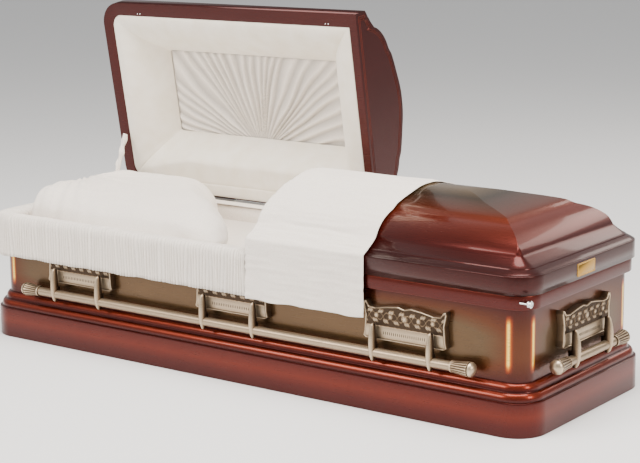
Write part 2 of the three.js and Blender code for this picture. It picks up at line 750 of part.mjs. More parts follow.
// A flared tip with a domed end and a blind socket for the bar.
function tip(length, side) {
  const hole = (BAR_RADIUS + CLEAR) / Math.cos(Math.PI / TURNED_SIDES);
  const mouth = BAR_RADIUS + TIP_WALL;
  const profile = [
    [0, TIP_SOCKET + TIP_PLAY],
    [hole, TIP_SOCKET + TIP_PLAY],
    [hole, 0],
    [mouth, 0],
    [mouth * 1.06, TIP_LENGTH * 0.3],
    [TIP_RADIUS, TIP_LENGTH * 0.7],
    [TIP_RADIUS * 0.8, TIP_LENGTH * 0.88],
    [0, TIP_LENGTH],
  ].map(([r, along]) => new THREE.Vector2(r, along));
  const g = faceOut(bare(new THREE.LatheGeometry(profile, TURNED_SIDES)));
  g.rotateZ(-Math.PI / 2);
  if (side < 0) g.rotateZ(Math.PI);
  return g.translate((side * length) / 2, -PIVOT_OFF, BAR_HEIGHT);
}

// A set of plates, arms, bar and tips on one wall of the case.
function handleSet(name, plates, barLength, angle, wallDistance) {
  const set = new THREE.Group();
  const frame = new THREE.Group();
  frame.position.y = -wallDistance;
  set.rotation.z = angle;
  set.add(frame);
  plates.forEach((u, i) => {
    const suffix = plates.length > 1 ? "_" + (i + 1) : "";
    const p = mesh(name + "_handle_plate" + suffix, plate(), "hardware");
    p.position.x = u;
    frame.add(p);
    [-1, 1].forEach((side, j) => {
      const a = mesh(name + "_handle_arm_" + (2 * i + j + 1), arm(), "hardware");
      a.position.x = u + (side * ARM_PITCH) / 2;
      frame.add(a);
    });
  });
  frame.add(mesh(name + "_handle_bar", bar(barLength), "hardware"));
  frame.add(mesh(name + "_handle_tip_1", tip(barLength, -1), "hardware"));
  frame.add(mesh(name + "_handle_tip_2", tip(barLength, 1), "hardware"));
  return set;
}

// Small fittings

function plaque() {
  const x = LENGTH / 2 - RIM_INSET + CLEAR;
  const z = LID_Z + RIM_HEIGHT / 2;
  const y = PLAQUE.shift;
  return box(
    x,
    x + PLAQUE.thick,
    y - PLAQUE.width / 2,
    y + PLAQUE.width / 2,
    z - PLAQUE.height / 2,
    z + PLAQUE.height / 2,
  );
}

function tubeCap() {
  const r = CORNER_RADIUS - LEDGE_INSET;
  const y = TUBE_CAP.fromFront - WIDTH / 2;
  const across = WIDTH / 2 - CORNER_RADIUS + y + TUBE_CAP.stem;
  const surface = LENGTH / 2 - CORNER_RADIUS + Math.sqrt(r * r - across * across);
  const end = LENGTH / 2 - LEDGE_INSET + TUBE_CAP.out;
  const stem = end - TUBE_CAP.thick - surface - CLEAR;
  const profile = [
    [0, 0],
    [TUBE_CAP.stem, 0],
    [TUBE_CAP.stem, stem],
    [TUBE_CAP.radius, stem],
    [TUBE_CAP.radius, stem + TUBE_CAP.thick - 1],
    [TUBE_CAP.radius - 1, stem + TUBE_CAP.thick],
    [0, stem + TUBE_CAP.thick],
  ].map(([radius, along]) => new THREE.Vector2(radius, along));
  const g = faceOut(bare(new THREE.LatheGeometry(profile, TURNED_SIDES)));
  return g.rotateZ(-Math.PI / 2).translate(end - TUBE_CAP.thick - stem, y, TUBE_CAP.z);
}

// The whole casket

const casket = new THREE.Group();
casket.add(
  mesh("base_moulding", baseMoulding(), "cherry"),
  mesh("bottom_panel", bottomPanel(), "steel"),
  mesh("body_shell", bodyShell(), "bronze"),
  mesh("top_moulding", topMoulding(), "cherry"),
  mesh("bed_frame", bedFrame(), "steel"),
  mesh("mattress", mattress(), "crepe"),
  mesh("side_lining", sideLining(), "crepe"),
  mesh("pillow", pillow(), "crepe"),
  mesh("overlay", overlay(), "crepe"),
  mesh("lid_stay", lidStay(), "crepe"),
  mesh("memory_tube_cap", tubeCap(), "chrome"),
);

const headHinge = [-LENGTH / 2 + HINGE_END, HEAD_END_X - HINGE_END / 2];
const footHinge = [FOOT_END_X + HINGE_END / 2, LENGTH / 2 - HINGE_END];
casket.add(
  mesh("head_hinge_case_leaf", hingeLeaf(...headHinge, false), "steel"),
  mesh("foot_hinge_case_leaf", hingeLeaf(...footHinge, false), "steel"),
);

const liningEdge = RIM_INSET + RIM_FLANGE;
const headLining = [-LENGTH / 2 + liningEdge, HEAD_END_X - HEADER_FLANGE];
const footLining = [FOOT_END_X + HEADER_FLANGE, LENGTH / 2 - liningEdge];

const headLid = new THREE.Group();
headLid.add(
  mesh("head_lid", lidShell(-FAR, HEAD_END_X, HEAD_END_X - SHEET, HEAD_END_X), "cherry"),
  mesh("head_lid_rolls", liningRolls(...headLining, liningEdge, ROLL_THICK, ROLL_DEPTH, ROLL_WIDTH), "crepe"),
  mesh("head_lid_panel", liningPanel(...headLining, liningEdge, ROLL_DEPTH, ROLL_WIDTH), "crepe"),
  mesh("head_hinge_lid_leaf", hingeLeaf(...headHinge, true), "steel"),
);
for (const piece of headLid.children) piece.geometry.translate(0, -HINGE_Y, -HINGE_Z);
headLid.position.set(0, HINGE_Y, HINGE_Z);
headLid.rotation.x = -OPEN;

const footLid = new THREE.Group();
footLid.add(
  mesh("foot_lid", lidShell(FOOT_END_X, FAR, FOOT_END_X, FOOT_END_X + SHEET), "cherry"),
  mesh("foot_lid_rolls", liningRolls(...footLining, liningEdge, ROLL_THICK, ROLL_DEPTH, ROLL_WIDTH), "crepe"),
  mesh("foot_lid_panel", liningPanel(...footLining, liningEdge, ROLL_DEPTH, ROLL_WIDTH), "crepe"),
  mesh("foot_hinge_lid_leaf", hingeLeaf(...footHinge, true), "steel"),
  mesh("throw", throwCloth(), "crepe"),
  mesh("plaque", plaque(), "brass"),
);

const sidePlates = [-WALL_PLATE_PITCH, 0, WALL_PLATE_PITCH];
casket.add(
  headLid,
  footLid,
  handleSet("front", sidePlates, SIDE_BAR_LENGTH, 0, WALL_Y),
  handleSet("back", sidePlates, SIDE_BAR_LENGTH, Math.PI, WALL_Y),
  handleSet("foot_end", [0], END_BAR_LENGTH, Math.PI / 2, WALL_X),
  handleSet("head_end", [0], END_BAR_LENGTH, -Math.PI / 2, WALL_X),
);

export default casket;
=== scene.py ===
"""A half-couch metal casket: cherry and bronze enamel, antique bronze handles, white crepe and velvet.

Lengths are in metres. X runs along the casket to its foot end, -Y is its front and Z is up.
Tables of a section's points, and values that end in _mm, are in millimetres.
"""
import math
import bmesh
import bpy
import numpy as np
from mathutils import Matrix, Vector, noise


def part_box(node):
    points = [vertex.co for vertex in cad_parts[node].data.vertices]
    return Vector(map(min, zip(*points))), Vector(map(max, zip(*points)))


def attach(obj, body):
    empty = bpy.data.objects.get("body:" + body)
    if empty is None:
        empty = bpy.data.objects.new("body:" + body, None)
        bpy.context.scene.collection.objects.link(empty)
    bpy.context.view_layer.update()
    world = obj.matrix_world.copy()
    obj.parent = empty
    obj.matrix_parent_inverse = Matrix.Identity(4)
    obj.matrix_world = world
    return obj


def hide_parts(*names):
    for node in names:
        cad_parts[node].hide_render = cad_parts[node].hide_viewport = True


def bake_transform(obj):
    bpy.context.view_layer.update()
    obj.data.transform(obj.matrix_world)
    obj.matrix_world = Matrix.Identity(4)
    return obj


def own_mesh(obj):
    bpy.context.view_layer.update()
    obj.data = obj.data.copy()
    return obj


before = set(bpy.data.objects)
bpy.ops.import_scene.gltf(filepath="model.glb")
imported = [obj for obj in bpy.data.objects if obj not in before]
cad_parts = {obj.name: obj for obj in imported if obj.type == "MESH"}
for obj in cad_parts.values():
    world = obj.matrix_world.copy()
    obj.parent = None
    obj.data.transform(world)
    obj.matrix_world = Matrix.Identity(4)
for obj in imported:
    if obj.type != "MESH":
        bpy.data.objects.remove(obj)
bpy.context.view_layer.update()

MM = 0.001
RNG = np.random.default_rng(11)

# Clearance between pieces that touch, the steel's thickness, and how near two points count as one
GAP = 0.3 * MM
SHEET = 1.2 * MM
WELD = 0.02 * MM

# Sizes taken from the frame
skirt_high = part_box("base_moulding")[1]
wall_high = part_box("body_shell")[1]
ledge_low, ledge_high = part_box("top_moulding")
foot_low, foot_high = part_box("foot_lid")
HALF_X, HALF_Y = skirt_high.x, skirt_high.y
WALL_X, WALL_Y = wall_high.x, wall_high.y
BODY_INSET = HALF_Y - WALL_Y
LEDGE_INSET = HALF_Y - ledge_high.y
RIM_INSET = HALF_X - foot_high.x
LID_Z = foot_low.z
FOOT_CUT = foot_low.x
PANEL_GAP = 6 * MM
HEAD_CUT = FOOT_CUT - PANEL_GAP

# Corners and flanges
CORNER_RADIUS = 94 * MM
LEAST_RADIUS = 1 * MM
CORNER_STEPS = 14
FLANGE = 45 * MM
HEADER_FLANGE = 31 * MM

# The lid's section, from its rim to its crown
RIM_HEIGHT = 54 * MM
SHOULDER_RISE = 41 * MM
SHOULDER_WIDTH = 65 * MM
BAND_WIDTH = 84 * MM
BAND_RISE = 67 * MM
CREASE_WIDTH = 24 * MM
CREASE_STEP = 14 * MM
RIDGE_WIDTH = 74 * MM
RIDGE_RISE = 21 * MM
CROWN_RISE = 15 * MM
CROWN_FLAT = 10 * MM
CROWN_END = 45 * MM

# The lid's hinge line, and how far the head panel stands open
HINGE_OUT = 4.3 * MM
HINGE_DROP = 2 * MM
HINGE_Y = HALF_Y - RIM_INSET + HINGE_OUT
HINGE_Z = LID_Z - HINGE_DROP
OPEN = math.radians(80.5)

# The lids' lining
LINING_Z = LID_Z + SHEET + GAP
ROLL_WIDTH = 150 * MM
ROLL_DEPTH = 112 * MM
ROLL_THICK = 22 * MM
PLEATS = 30

# Handles: pivots, bars, plates and the rods on the plates' lower bands
PIVOT_OFF = 37 * MM
PIVOT_Z = 255 * MM
BAR_Z = 178 * MM
BAR_RADIUS = 14 * MM
SIDE_BAR = 1610 * MM
END_BAR = 276 * MM
PLATE_PITCH = 636 * MM
ARM_PITCH = 196 * MM
ROD_PITCH = 7 * MM
ROD_OUT = 24.6 * MM
ROD_Z = 236 * MM

# The camera: where the photograph was taken from, and how it is turned
CAMERA_AT = Vector((3.3766, -4.4274, 1.5562))
CAMERA_AIM = Vector((0.0905, 0, 0.4199))
CAMERA_ROLL = math.radians(-0.67)
CAMERA_LENS = 100.49
CAMERA_SENSOR = 36


def new_object(name, data):
    obj = bpy.data.objects.new(name, data)
    bpy.context.scene.collection.objects.link(obj)
    return obj


def linear(code):
    """A colour written as sRGB hex, as linear red, green, blue and alpha."""
    channels = [int(code[i:i + 2], 16) / 255 for i in (1, 3, 5)]
    return [c / 12.92 if c <= 0.04045 else ((c + 0.055) / 1.055) ** 2.4 for c in channels] + [1.0]


def make_camera():
    data = bpy.data.cameras.new("camera")
    data.lens = CAMERA_LENS
    data.sensor_width = CAMERA_SENSOR
    camera = new_object("camera", data)
    turn = (CAMERA_AIM - CAMERA_AT).to_track_quat("-Z", "Y").to_matrix().to_4x4()
    camera.matrix_world = Matrix.Translation(CAMERA_AT) @ turn @ Matrix.Rotation(CAMERA_ROLL, 4, "Z")
    bpy.context.scene.camera = camera


def area_light(name, at, aim, size, power, tint):
    data = bpy.data.lights.new(name, "AREA")
    data.shape = "RECTANGLE"
    data.size, data.size_y = size
    data.energy = power
    data.color = linear(tint)[:3]
    light = new_object(name, data)
    light.location = at
    light.rotation_euler = (Vector(aim) - Vector(at)).to_track_quat("-Z", "Y").to_euler()


# Materials

def feed(tree, node, inputs):
    """Gives a node's inputs their values, or the outputs of other nodes."""
    for socket, value in inputs.items():
        if isinstance(value, bpy.types.NodeSocket):
            tree.links.new(value, node.inputs[socket])
        else:
            node.inputs[socket].default_value = value


def add(tree, kind, inputs=None, stops=(), **settings):
    """A node with its settings, its inputs and, on a colour ramp, its (position, sRGB hex) stops."""
    node = tree.nodes.new(kind)
    for key, value in settings.items():
        setattr(node, key, value)
    if stops:
        elements = node.color_ramp.elements
        while len(elements) < len(stops):
            elements.new(0.5)
        for element, (at, code) in zip(elements, stops):
            element.position = at
            element.color = linear(code)
    feed(tree, node, inputs or {})
    return node


def shader(name, **constants):
    """A material with a Principled shader whose constants stand on its own sockets."""
    material = bpy.data.materials.new(name)
    material.use_nodes = True
    tree = material.node_tree
    surface = tree.nodes["Principled BSDF"]
    feed(tree, surface, {socket.replace("_", " "): value for socket, value in constants.items()})
    return material, tree, surface


def grain(tree, size_mm, stretch=(1, 1, 1), detail=3.0):
    """Noise whose spots are about size_mm across, made longer where stretch is below 1."""
    where = add(tree, "ShaderNodeTexCoord").outputs["Object"]
    scale = [s / (size_mm * MM) for s in stretch]
    scaled = add(tree, "ShaderNodeMapping", {"Vector": where, "Scale": scale}).outputs["Vector"]
    return add(tree, "ShaderNodeTexNoise", {"Vector": scaled, "Scale": 1.0, "Detail": detail}).outputs["Fac"]


def shade(tree, colour, dark, light, factor):
    """The colour times a grey that runs from dark to light."""
    grey = add(tree, "ShaderNodeMapRange", {"Value": factor, "To Min": dark, "To Max": light}).outputs[0]
    mix = add(tree, "ShaderNodeMix", {0: 1.0, 6: colour, 7: grey}, data_type="RGBA", blend_type="MULTIPLY")
    return mix.outputs[2]


# Enamel colours: from the rim up to the crown, and from the wall's dark edges to its middle.
CHERRY = [
    (0.0, "#360804"), (0.2, "#470c05"), (0.42, "#742409"),
    (0.58, "#5d2907"), (0.76, "#3a2911"), (1.0, "#785c33"),
]
BRONZE = [(0.0, "#3a0905"), (0.3, "#552a10"), (0.65, "#57422b"), (1.0, "#5c452c")]

# Painted highlights along a bend, where it catches the light: from their red edge to a bright gold.
GLINT_COLOURS = [(0.0, "#d83a14"), (0.45, "#f3852a"), (0.8, "#ffd254"), (1.0, "#ffe88c")]


# Baked enamel, sprayed and clear-coated over brushed steel: deep gloss, the brushing glints below it.
# The brushing is drawn 1.6 mm apart, coarser than it is, so that it shows.
def enamel(name, stops, coat):
    material, tree, surface = shader(
        name, Metallic=0.72, Roughness=0.3, Coat_Weight=coat, Coat_Roughness=0.05, Coat_IOR=1.42
    )
    tone = add(tree, "ShaderNodeAttribute", attribute_name="tone").outputs["Fac"]
    painted_glint = add(tree, "ShaderNodeAttribute", attribute_name="painted_glint").outputs["Fac"]
    brushed = grain(tree, 1.6, (0.03, 1, 1), 5.0)
    cloudy = grain(tree, 160, (0.6, 1, 1))
    sprayed = add(tree, "ShaderNodeValToRGB", {"Fac": tone}, stops).outputs["Color"]
    sprayed = shade(tree, shade(tree, sprayed, 0.85, 1.15, brushed), 0.86, 1.14, cloudy)
    # Painted highlights: where the second attribute is high, bright gold strips cover the sprayed colour
    glint_colour = add(tree, "ShaderNodeValToRGB", {"Fac": painted_glint}, GLINT_COLOURS).outputs["Color"]
    colour = add(tree, "ShaderNodeMix", {0: painted_glint, 6: sprayed, 7: glint_colour}, data_type="RGBA").outputs[2]
    rough = add(tree, "ShaderNodeMapRange", {"Value": brushed, "To Min": 0.2, "To Max": 0.4}).outputs[0]
    lines = add(tree, "ShaderNodeBump", {"Height": brushed, "Distance": 0.03 * MM, "Strength": 0.3})
    feed(tree, surface, {"Base Color": colour, "Roughness": rough, "Normal": lines.outputs["Normal"]})
    return material


# Cast zinc, plated and oxidised, then buffed: pale bronze on the heights, near black in the hollows.
# Specks of 2.2 mm and brushing of 0.8 mm are coarser than real ones, so that they show.
def antique_bronze():
    material, tree, surface = shader("antique_bronze_plate", Metallic=0.85, Roughness=0.34)
    height = add(tree, "ShaderNodeAttribute", attribute_name="tone").outputs["Fac"]
    speck = grain(tree, 2.2)
    brushed = grain(tree, 0.8, (0.05, 1, 1))
    worn = add(tree, "ShaderNodeMapRange", {"Value": speck, "To Min": 0.8, "To Max": 1.2}).outputs[0]
    buffed = add(tree, "ShaderNodeMath", {0: worn, 1: height}, operation="MULTIPLY").outputs[0]
    stops = [(0.0, "#14100b"), (0.3, "#453629"), (0.6, "#7c6852"), (0.95, "#c9b59a")]
    colour = add(tree, "ShaderNodeValToRGB", {"Fac": buffed}, stops).outputs["Color"]
    rough = add(tree, "ShaderNodeMapRange", {"Value": brushed, "To Min": 0.22, "To Max": 0.48}).outputs[0]
    skin = add(tree, "ShaderNodeBump", {"Height": speck, "Distance": 0.12 * MM, "Strength": 0.5})
    feed(tree, surface, {"Base Color": colour, "Roughness": rough, "Normal": skin.outputs["Normal"]})
    return material


# Bare metals: polished brass, bright chrome, and zinc-coated steel with its spangle of about 14 mm.
# The polish of the other two is drawn coarser than it is, so that it shows.
def bare_metal(name, code, roughness, spot_mm, depth_mm):
    material, tree, surface = shader(name, Metallic=1.0, Roughness=roughness)
    spots = grain(tree, spot_mm, (0.2, 1, 1))
    colour = shade(tree, linear(code), 0.85, 1.1, spots)
    skin = add(tree, "ShaderNodeBump", {"Height": spots, "Distance": depth_mm * MM, "Strength": 0.3})
    feed(tree, surface, {"Base Color": colour, "Normal": skin.outputs["Normal"]})
    return material


# Rayon crepe: matt white cloth, crinkled all over by its twisted yarns, with painted shade in its folds.
# Crinkles of 3.2 mm and threads of 0.9 mm are coarser than real ones, so that they show.
def crepe():
    material, tree, surface = shader("white_crepe", Roughness=0.85, Sheen_Weight=0.25, Sheen_Roughness=0.5)
    height = add(tree, "ShaderNodeAttribute", attribute_name="tone").outputs["Fac"]
    crinkle = grain(tree, 3.2, (1, 1, 1.5), 4.0)
    thread = grain(tree, 0.9, (1, 1, 0.4), 2.0)
    stops = [(0.3, "#ede2d6"), (0.6, "#fcf4ea")]
    colour = add(tree, "ShaderNodeValToRGB", {"Fac": crinkle}, stops).outputs["Color"]
    # Painted shade: the colour is darkened where the tone is low, in the valleys of folds
    colour = shade(tree, shade(tree, colour, 0.62, 1.08, height), 0.96, 1.03, thread)
    skin = add(tree, "ShaderNodeBump", {"Height": crinkle, "Distance": 0.9 * MM, "Strength": 0.5})
    feed(tree, surface, {"Base Color": colour, "Normal": skin.outputs["Normal"]})
    return material


# Cotton velvet: soft white pile with a low sheen, brushed one way in patches.
# The pile is drawn 0.7 mm across, coarser than it is, so that it shows.
def velvet():
    material, tree, surface = shader("white_velvet", Roughness=0.95, Sheen_Weight=0.5, Sheen_Roughness=0.35)
    patches = grain(tree, 55)
    pile = grain(tree, 0.7)
    stops = [(0.3, "#f3ead9"), (0.65, "#faf3e6")]
    colour = add(tree, "ShaderNodeValToRGB", {"Fac": patches}, stops).outputs["Color"]
    colour = shade(tree, colour, 0.95, 1.03, pile)
    skin = add(tree, "ShaderNodeBump", {"Height": pile, "Distance": 0.25 * MM, "Strength": 0.4})
    feed(tree, surface, {"Base Color": colour, "Normal": skin.outputs["Normal"]})
    return material


# Meshes

def paint(mesh, name, values):
    """Stores one value for each vertex, for a material to read."""
    layer = mesh.attributes.get(name) or mesh.attributes.new(name, "FLOAT", "POINT")
    layer.data.foreach_set("value", np.array(values, np.float32))


class Shell:
    """Vertices, faces and two values a vertex (tone, painted highlight), gathered for one piece."""

    def __init__(self):
        self.points, self.faces, self.tones, self.painted_glints = [], [], [], []

    def grid(self, rows, tones=0.8, painted_glints=0.0, wrap_rows=False, wrap_columns=False, caps=False):
        rows = np.asarray(rows, float)
        count, width = rows.shape[:2]
        start = len(self.points)
        self.points += rows.reshape(-1, 3).tolist()
        self.tones += np.broadcast_to(tones, (count, width)).ravel().tolist()
        self.painted_glints += np.broadcast_to(painted_glints, (count, width)).ravel().tolist()
        for i in range(count if wrap_rows else count - 1):
            here, ahead = start + i * width, start + (i + 1) % count * width
            for j in range(width if wrap_columns else width - 1):
                k = (j + 1) % width
                self.faces.append((here + j, here + k, ahead + k, ahead + j))
        if caps:
            self.faces.append(tuple(range(start, start + width)))
            self.faces.append(tuple(range(start + (count - 1) * width, start + count * width)))
        return self

    def object(self, name, angle=32):
        """The piece itself, welded, with edges sharp where faces meet at more than the angle."""
        mesh = bpy.data.meshes.new(name)
        mesh.from_pydata(self.points, [], self.faces)
        paint(mesh, "tone", self.tones)
        paint(mesh, "painted_glint", self.painted_glints)
        welded = bmesh.new()
        welded.from_mesh(mesh)
        bmesh.ops.remove_doubles(welded, verts=welded.verts, dist=WELD)
        bmesh.ops.recalc_face_normals(welded, faces=welded.faces)
        welded.to_mesh(mesh)
        welded.free()
        mesh.shade_smooth()
        mesh.set_sharp_from_angle(angle=math.radians(angle))
        return new_object(name, mesh)


def applied(obj):
    """The object with its modifiers turned into plain mesh."""
    bpy.context.view_layer.update()
    shaped = bpy.data.meshes.new_from_object(obj.evaluated_get(bpy.context.evaluated_depsgraph_get()))
    obj.modifiers.clear()
    obj.data = shaped
    return obj


def thicken(obj, thickness, offset=0.0):
    modifier = obj.modifiers.new("thickness", "SOLIDIFY")
    modifier.thickness = thickness
    modifier.offset = offset
    return applied(obj)


def joined(name, objects):
    """One object from several, each with its faces as they are."""
    whole = bmesh.new()
    for obj in objects:
        whole.from_mesh(obj.data)
    mesh = bpy.data.meshes.new(name)
    whole.to_mesh(mesh)
    whole.free()
    for obj in objects:
        bpy.data.objects.remove(obj)
    return new_object(name, mesh)


def points_of(obj):
    return np.array([v.co for v in obj.data.vertices])


def move_points(obj, points):
    obj.data.vertices.foreach_set("co", points.astype(np.float32).ravel())
    obj.data.update()


def fit(obj, body, slot, material, *nodes):
    """Gives a finished piece its material and its body, and hides the frame's nodes that it stands for."""
    obj.data.materials.clear()
    obj.data.materials.append(material)
    if body:
        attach(obj, body)
    if nodes:
        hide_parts(*nodes)
    return obj


# Lines and outlines

def drift(x, y, z):
    """Smooth noise between -1 and 1."""
    return noise.noise(Vector((x, y, z)))


def around(sides):
    """The angles of one full turn, evenly spaced."""
    return np.linspace(0, 2 * math.pi, sides, endpoint=False)


def run_along(line):
    """How far along a line each of its points lies."""
    return np.concatenate([[0], np.cumsum(np.linalg.norm(np.diff(line, axis=0), axis=1))])


def arc(cx, cy, r, start, steps=CORNER_STEPS):
    """A quarter circle that starts at an angle in degrees."""
    angles = np.radians(start + np.linspace(0, 90, steps + 1))
    return np.stack([cx + r * np.cos(angles), cy + r * np.sin(angles)], 1)


def rounded(x0, x1, y0, y1, radius, steps=CORNER_STEPS, spacing=0.0):
    """A closed outline round a rectangle, anticlockwise from above. Spacing also puts points on its sides."""
    r = max(radius, LEAST_RADIUS)
    corners = [
        arc(x1 - r, y0 + r, r, -90, steps),
        arc(x1 - r, y1 - r, r, 0, steps),
        arc(x0 + r, y1 - r, r, 90, steps),
        arc(x0 + r, y0 + r, r, 180, steps),
    ]
    if not spacing:
        return np.concatenate(corners)
    sides = []
    lengths = [y1 - y0, x1 - x0, y1 - y0, x1 - x0]
    for i, corner in enumerate(corners):
        follower = corners[(i + 1) % 4][0]
        count = max(int(lengths[i] / spacing), 2)
        t = np.linspace(0, 1, count + 1)[1:-1, None]
        sides += [corner, corner[-1] * (1 - t) + follower * t]
    return np.concatenate(sides)


def case_outline(inset, near=()):
    """The case's outline moved inwards, with points on the straight sides near each corner's bend."""
    x, y = HALF_X - inset, HALF_Y - inset
    r = CORNER_RADIUS - inset
    outline = []
    for i, (sx, sy) in enumerate(((1, -1), (1, 1), (-1, 1), (-1, -1))):
        bend = arc(sx * (x - r), sy * (y - r), r, 90 * i - 90)
        before, after = bend[0] - bend[1], bend[-1] - bend[-2]
        before = np.round(before / np.abs(before).max())
        after = np.round(after / np.abs(after).max())
        outline += [bend[0] + before * d for d in near[::-1]]
        outline += [*bend, *(bend[-1] + after * d for d in near)]
    return np.array(outline)


def raised(outline, z):
    return np.column_stack([outline, np.broadcast_to(z, len(outline))])


def case_ring(section, tones):
    """A closed ring round the case from [inset, height] points in millimetres."""
    rows = [raised(case_outline(inset * MM), z * MM) for inset, z in section]
    return Shell().grid(rows, np.array(tones)[:, None], wrap_rows=True, wrap_columns=True)


def bulge(inset, z, run, rise, steps=8):
    """A quarter-round band that bulges outwards, as [inset, height] points."""
    angles = np.linspace(0, math.pi / 2, steps + 1)
    return [(inset + run * (1 - math.cos(a)), z + rise * math.sin(a)) for a in angles]


# Case

def base_moulding():
    """The skirt: a plain side, two quarter-round bands above it and a hem folded under its foot."""
    side, top, ledge = 100, skirt_high.z / MM, 8
    inset = BODY_INSET / MM - 0.3
    rise = (top - side - 6) / 2
    run = (inset - 9.2) / 2
    outer = [(1.5, 0), (0, 1.5), (0, 60), (0, 95), (0.8, 98.4), (3, 99.6), (ledge, side)]
    outer += bulge(ledge, side + 3, run, rise) + bulge(ledge + run + 1.2, top - rise, run, rise)
    inner = [(inset, top - 2.4), (10.4, 98.8), (1.2, 95.8), (1.2, 1.2), (20, 1.2), (20, 0)]
    # Painted highlights: the side's tones change with height, and each quarter-round band is lighter along
    # its crest
    side_tones = [0.1, 0.1, 0.3, 0.22, 0.15, 0.3, 0.1]
    band_highlight_tones = [0.12 + 0.3 * math.sin(math.pi * i / 8) for i in range(9)]
    tones = side_tones + band_highlight_tones * 2 + [0.1] * len(inner)
    return case_ring(outer + inner, tones).object("base_moulding_steel")


def wall():
    """The case's sides: shaded dark at their edges, with painted highlights of bright gold along the corners'
    bends.
    """
    low, covered, high = 1.5, 150, wall_high.z / MM
    heights = np.concatenate([np.linspace(low, covered, 4), np.linspace(covered + 10, high, 22)])
    near = [d * MM for d in (4, 8, 14, 50, 100, 160, 260)]
    section = [(BODY_INSET, z) for z in heights] + [(BODY_INSET + SHEET, z) for z in heights[::-1]]
    levels = np.array([z for _, z in section])
    rows = [raised(case_outline(inset, near), z * MM) for inset, z in section]
    # Painted highlights: two narrow strips at each corner, where its bend starts and ends
    strip_low, strip_high, strip_steps = 172, 336, 1.2
    step = np.arange(len(rows[0]) // 4) - len(near)
    strips = sum(np.exp(-((step - at) / strip_steps) ** 2) for at in (0.7, CORNER_STEPS - 0.7))
    ends = np.clip((levels - strip_low) / 26, 0, 1) * np.clip((strip_high - levels) / 22, 0, 1)
    painted_glints = np.minimum(1, np.tile(strips, 4)[None] * ends[:, None])
    # Lighter in the middle of each side than near its edges and its corners
    corner_shade, shade_low, lower_shade, upper_shade = 200 * MM, 146, 70, 90
    beyond = np.array([*near[::-1], *[0] * (CORNER_STEPS + 1), *near])
    calm = 0.28 + 0.72 * np.clip(beyond / corner_shade, 0, 1) ** 0.7
    middle = np.clip(np.minimum((levels - shade_low) / lower_shade, (high - levels) / upper_shade), 0, 1)
    tones = middle[:, None] * np.tile(calm, 4)[None]
    return Shell().grid(rows, tones, painted_glints, wrap_rows=True, wrap_columns=True).object("wall_steel")


def top_moulding():
    """The ledge that the lids close on: a folded channel with rounded edges."""
    low, high = ledge_low.z / MM, ledge_high.z / MM
    face, bend, sheet = 19, 3, SHEET / MM
    section = [(38, low), (face + bend, low), (face + 0.8, low + 0.8), (face, low + bend)]
    section += [(face, high - bend), (face + 0.8, high - 0.8), (face + bend, high)]
    section += [(62, high), (64, high - 0.6), (64, high - sheet), (face + bend, high - sheet)]
    section += [(face + sheet, high - bend), (face + sheet, low + bend), (face + bend, low + sheet)]
    section += [(40.2, low + sheet), (40.2, low)]
    # Painted highlights: the rounded edges are lighter than the face, the upper edge most, and the face
    # lighter towards its top
    tones = [0.1, 0.1, 0.3, 0.15, 0.25, 0.4, 0.2] + [0.1] * 9
    return case_ring(section, tones).object("top_moulding_steel")


# Lids

def lid_profile():
    """From the rim's foot to the crown: inset, height above the foot, extra inset of the ends."""
    rim, rim_top, rim_bend = RIM_INSET / MM, RIM_HEIGHT / MM, 3.5
    cove, cove_foot, cove_run, cove_rise = 14.5, 54, 22.5, 12.3
    lip, lip_top = 38.2, 68.8
    shoulder, shoulder_top = rim + SHOULDER_WIDTH / MM, rim_top + SHOULDER_RISE / MM
    band_run, band_rise = BAND_WIDTH / MM, BAND_RISE / MM
    band, band_top = shoulder + band_run, shoulder_top + band_rise
    crease, crease_top = band + CREASE_WIDTH / MM, band_top + CREASE_STEP / MM
    ridge, ridge_top = crease + RIDGE_WIDTH / MM, crease_top + RIDGE_RISE / MM
    crown, end = (HALF_Y - CROWN_FLAT) / MM - ridge, CROWN_END / MM
    points = [(rim, 0, 0), (rim, 30, 0)]
    for a in np.linspace(0, math.pi / 2, 5):
        points.append((rim + rim_bend * (1 - math.cos(a)), rim_top - rim_bend * (1 - math.sin(a)), 0))
    for t in np.linspace(0.15, 1, 6):
        points.append((cove + cove_run * t, cove_foot + cove_rise * t ** 0.8, 0))
    points.append((lip, lip_top, 0))
    for t in np.linspace(0.15, 1, 7):
        points.append((lip + (shoulder - lip) * t, lip_top + (shoulder_top - lip_top) * t ** 1.2, 0))
    for t in np.linspace(0, 1, 15)[1:]:
        a = t * math.pi / 2
        inwards = 0.45 * t + 0.55 * (1 - math.cos(a))
        upwards = 0.45 * t + 0.55 * math.sin(a)
        points.append((shoulder + band_run * inwards, shoulder_top + band_rise * upwards, 0))
    for t in np.linspace(0.2, 1, 5):
        rise = (crease_top - 1.2 - band_top) * t ** 1.15
        points.append((band + (crease - 2.4 - band) * t, band_top + rise, 0))
    points.append((crease, crease_top, 0))
    for t in np.linspace(0, 1, 9)[1:]:
        rise = (ridge_top - crease_top) * t ** 0.84
        points.append((crease + (ridge - crease) * t, crease_top + rise, end * t))
    for t in np.linspace(0, 1, 9)[1:]:
        rise = CROWN_RISE / MM * math.sin(t * math.pi / 2)
        points.append((ridge + crown * t, ridge_top + rise, end * (1 + 0.6 * t)))
    return np.array(points) * MM


PROFILE = lid_profile()


def swung(points):
    """Points of a closed lid, turned open about the hinge line."""
    p = np.array(points, float)
    v, w = HINGE_Y - p[..., 1], p[..., 2] - HINGE_Z
    p[..., 1] = HINGE_Y - v * math.cos(OPEN) + w * math.sin(OPEN)
    p[..., 2] = HINGE_Z + v * math.sin(OPEN) + w * math.cos(OPEN)
    return p


def turn_open(obj):
    move_points(obj, swung(points_of(obj)))
    return obj


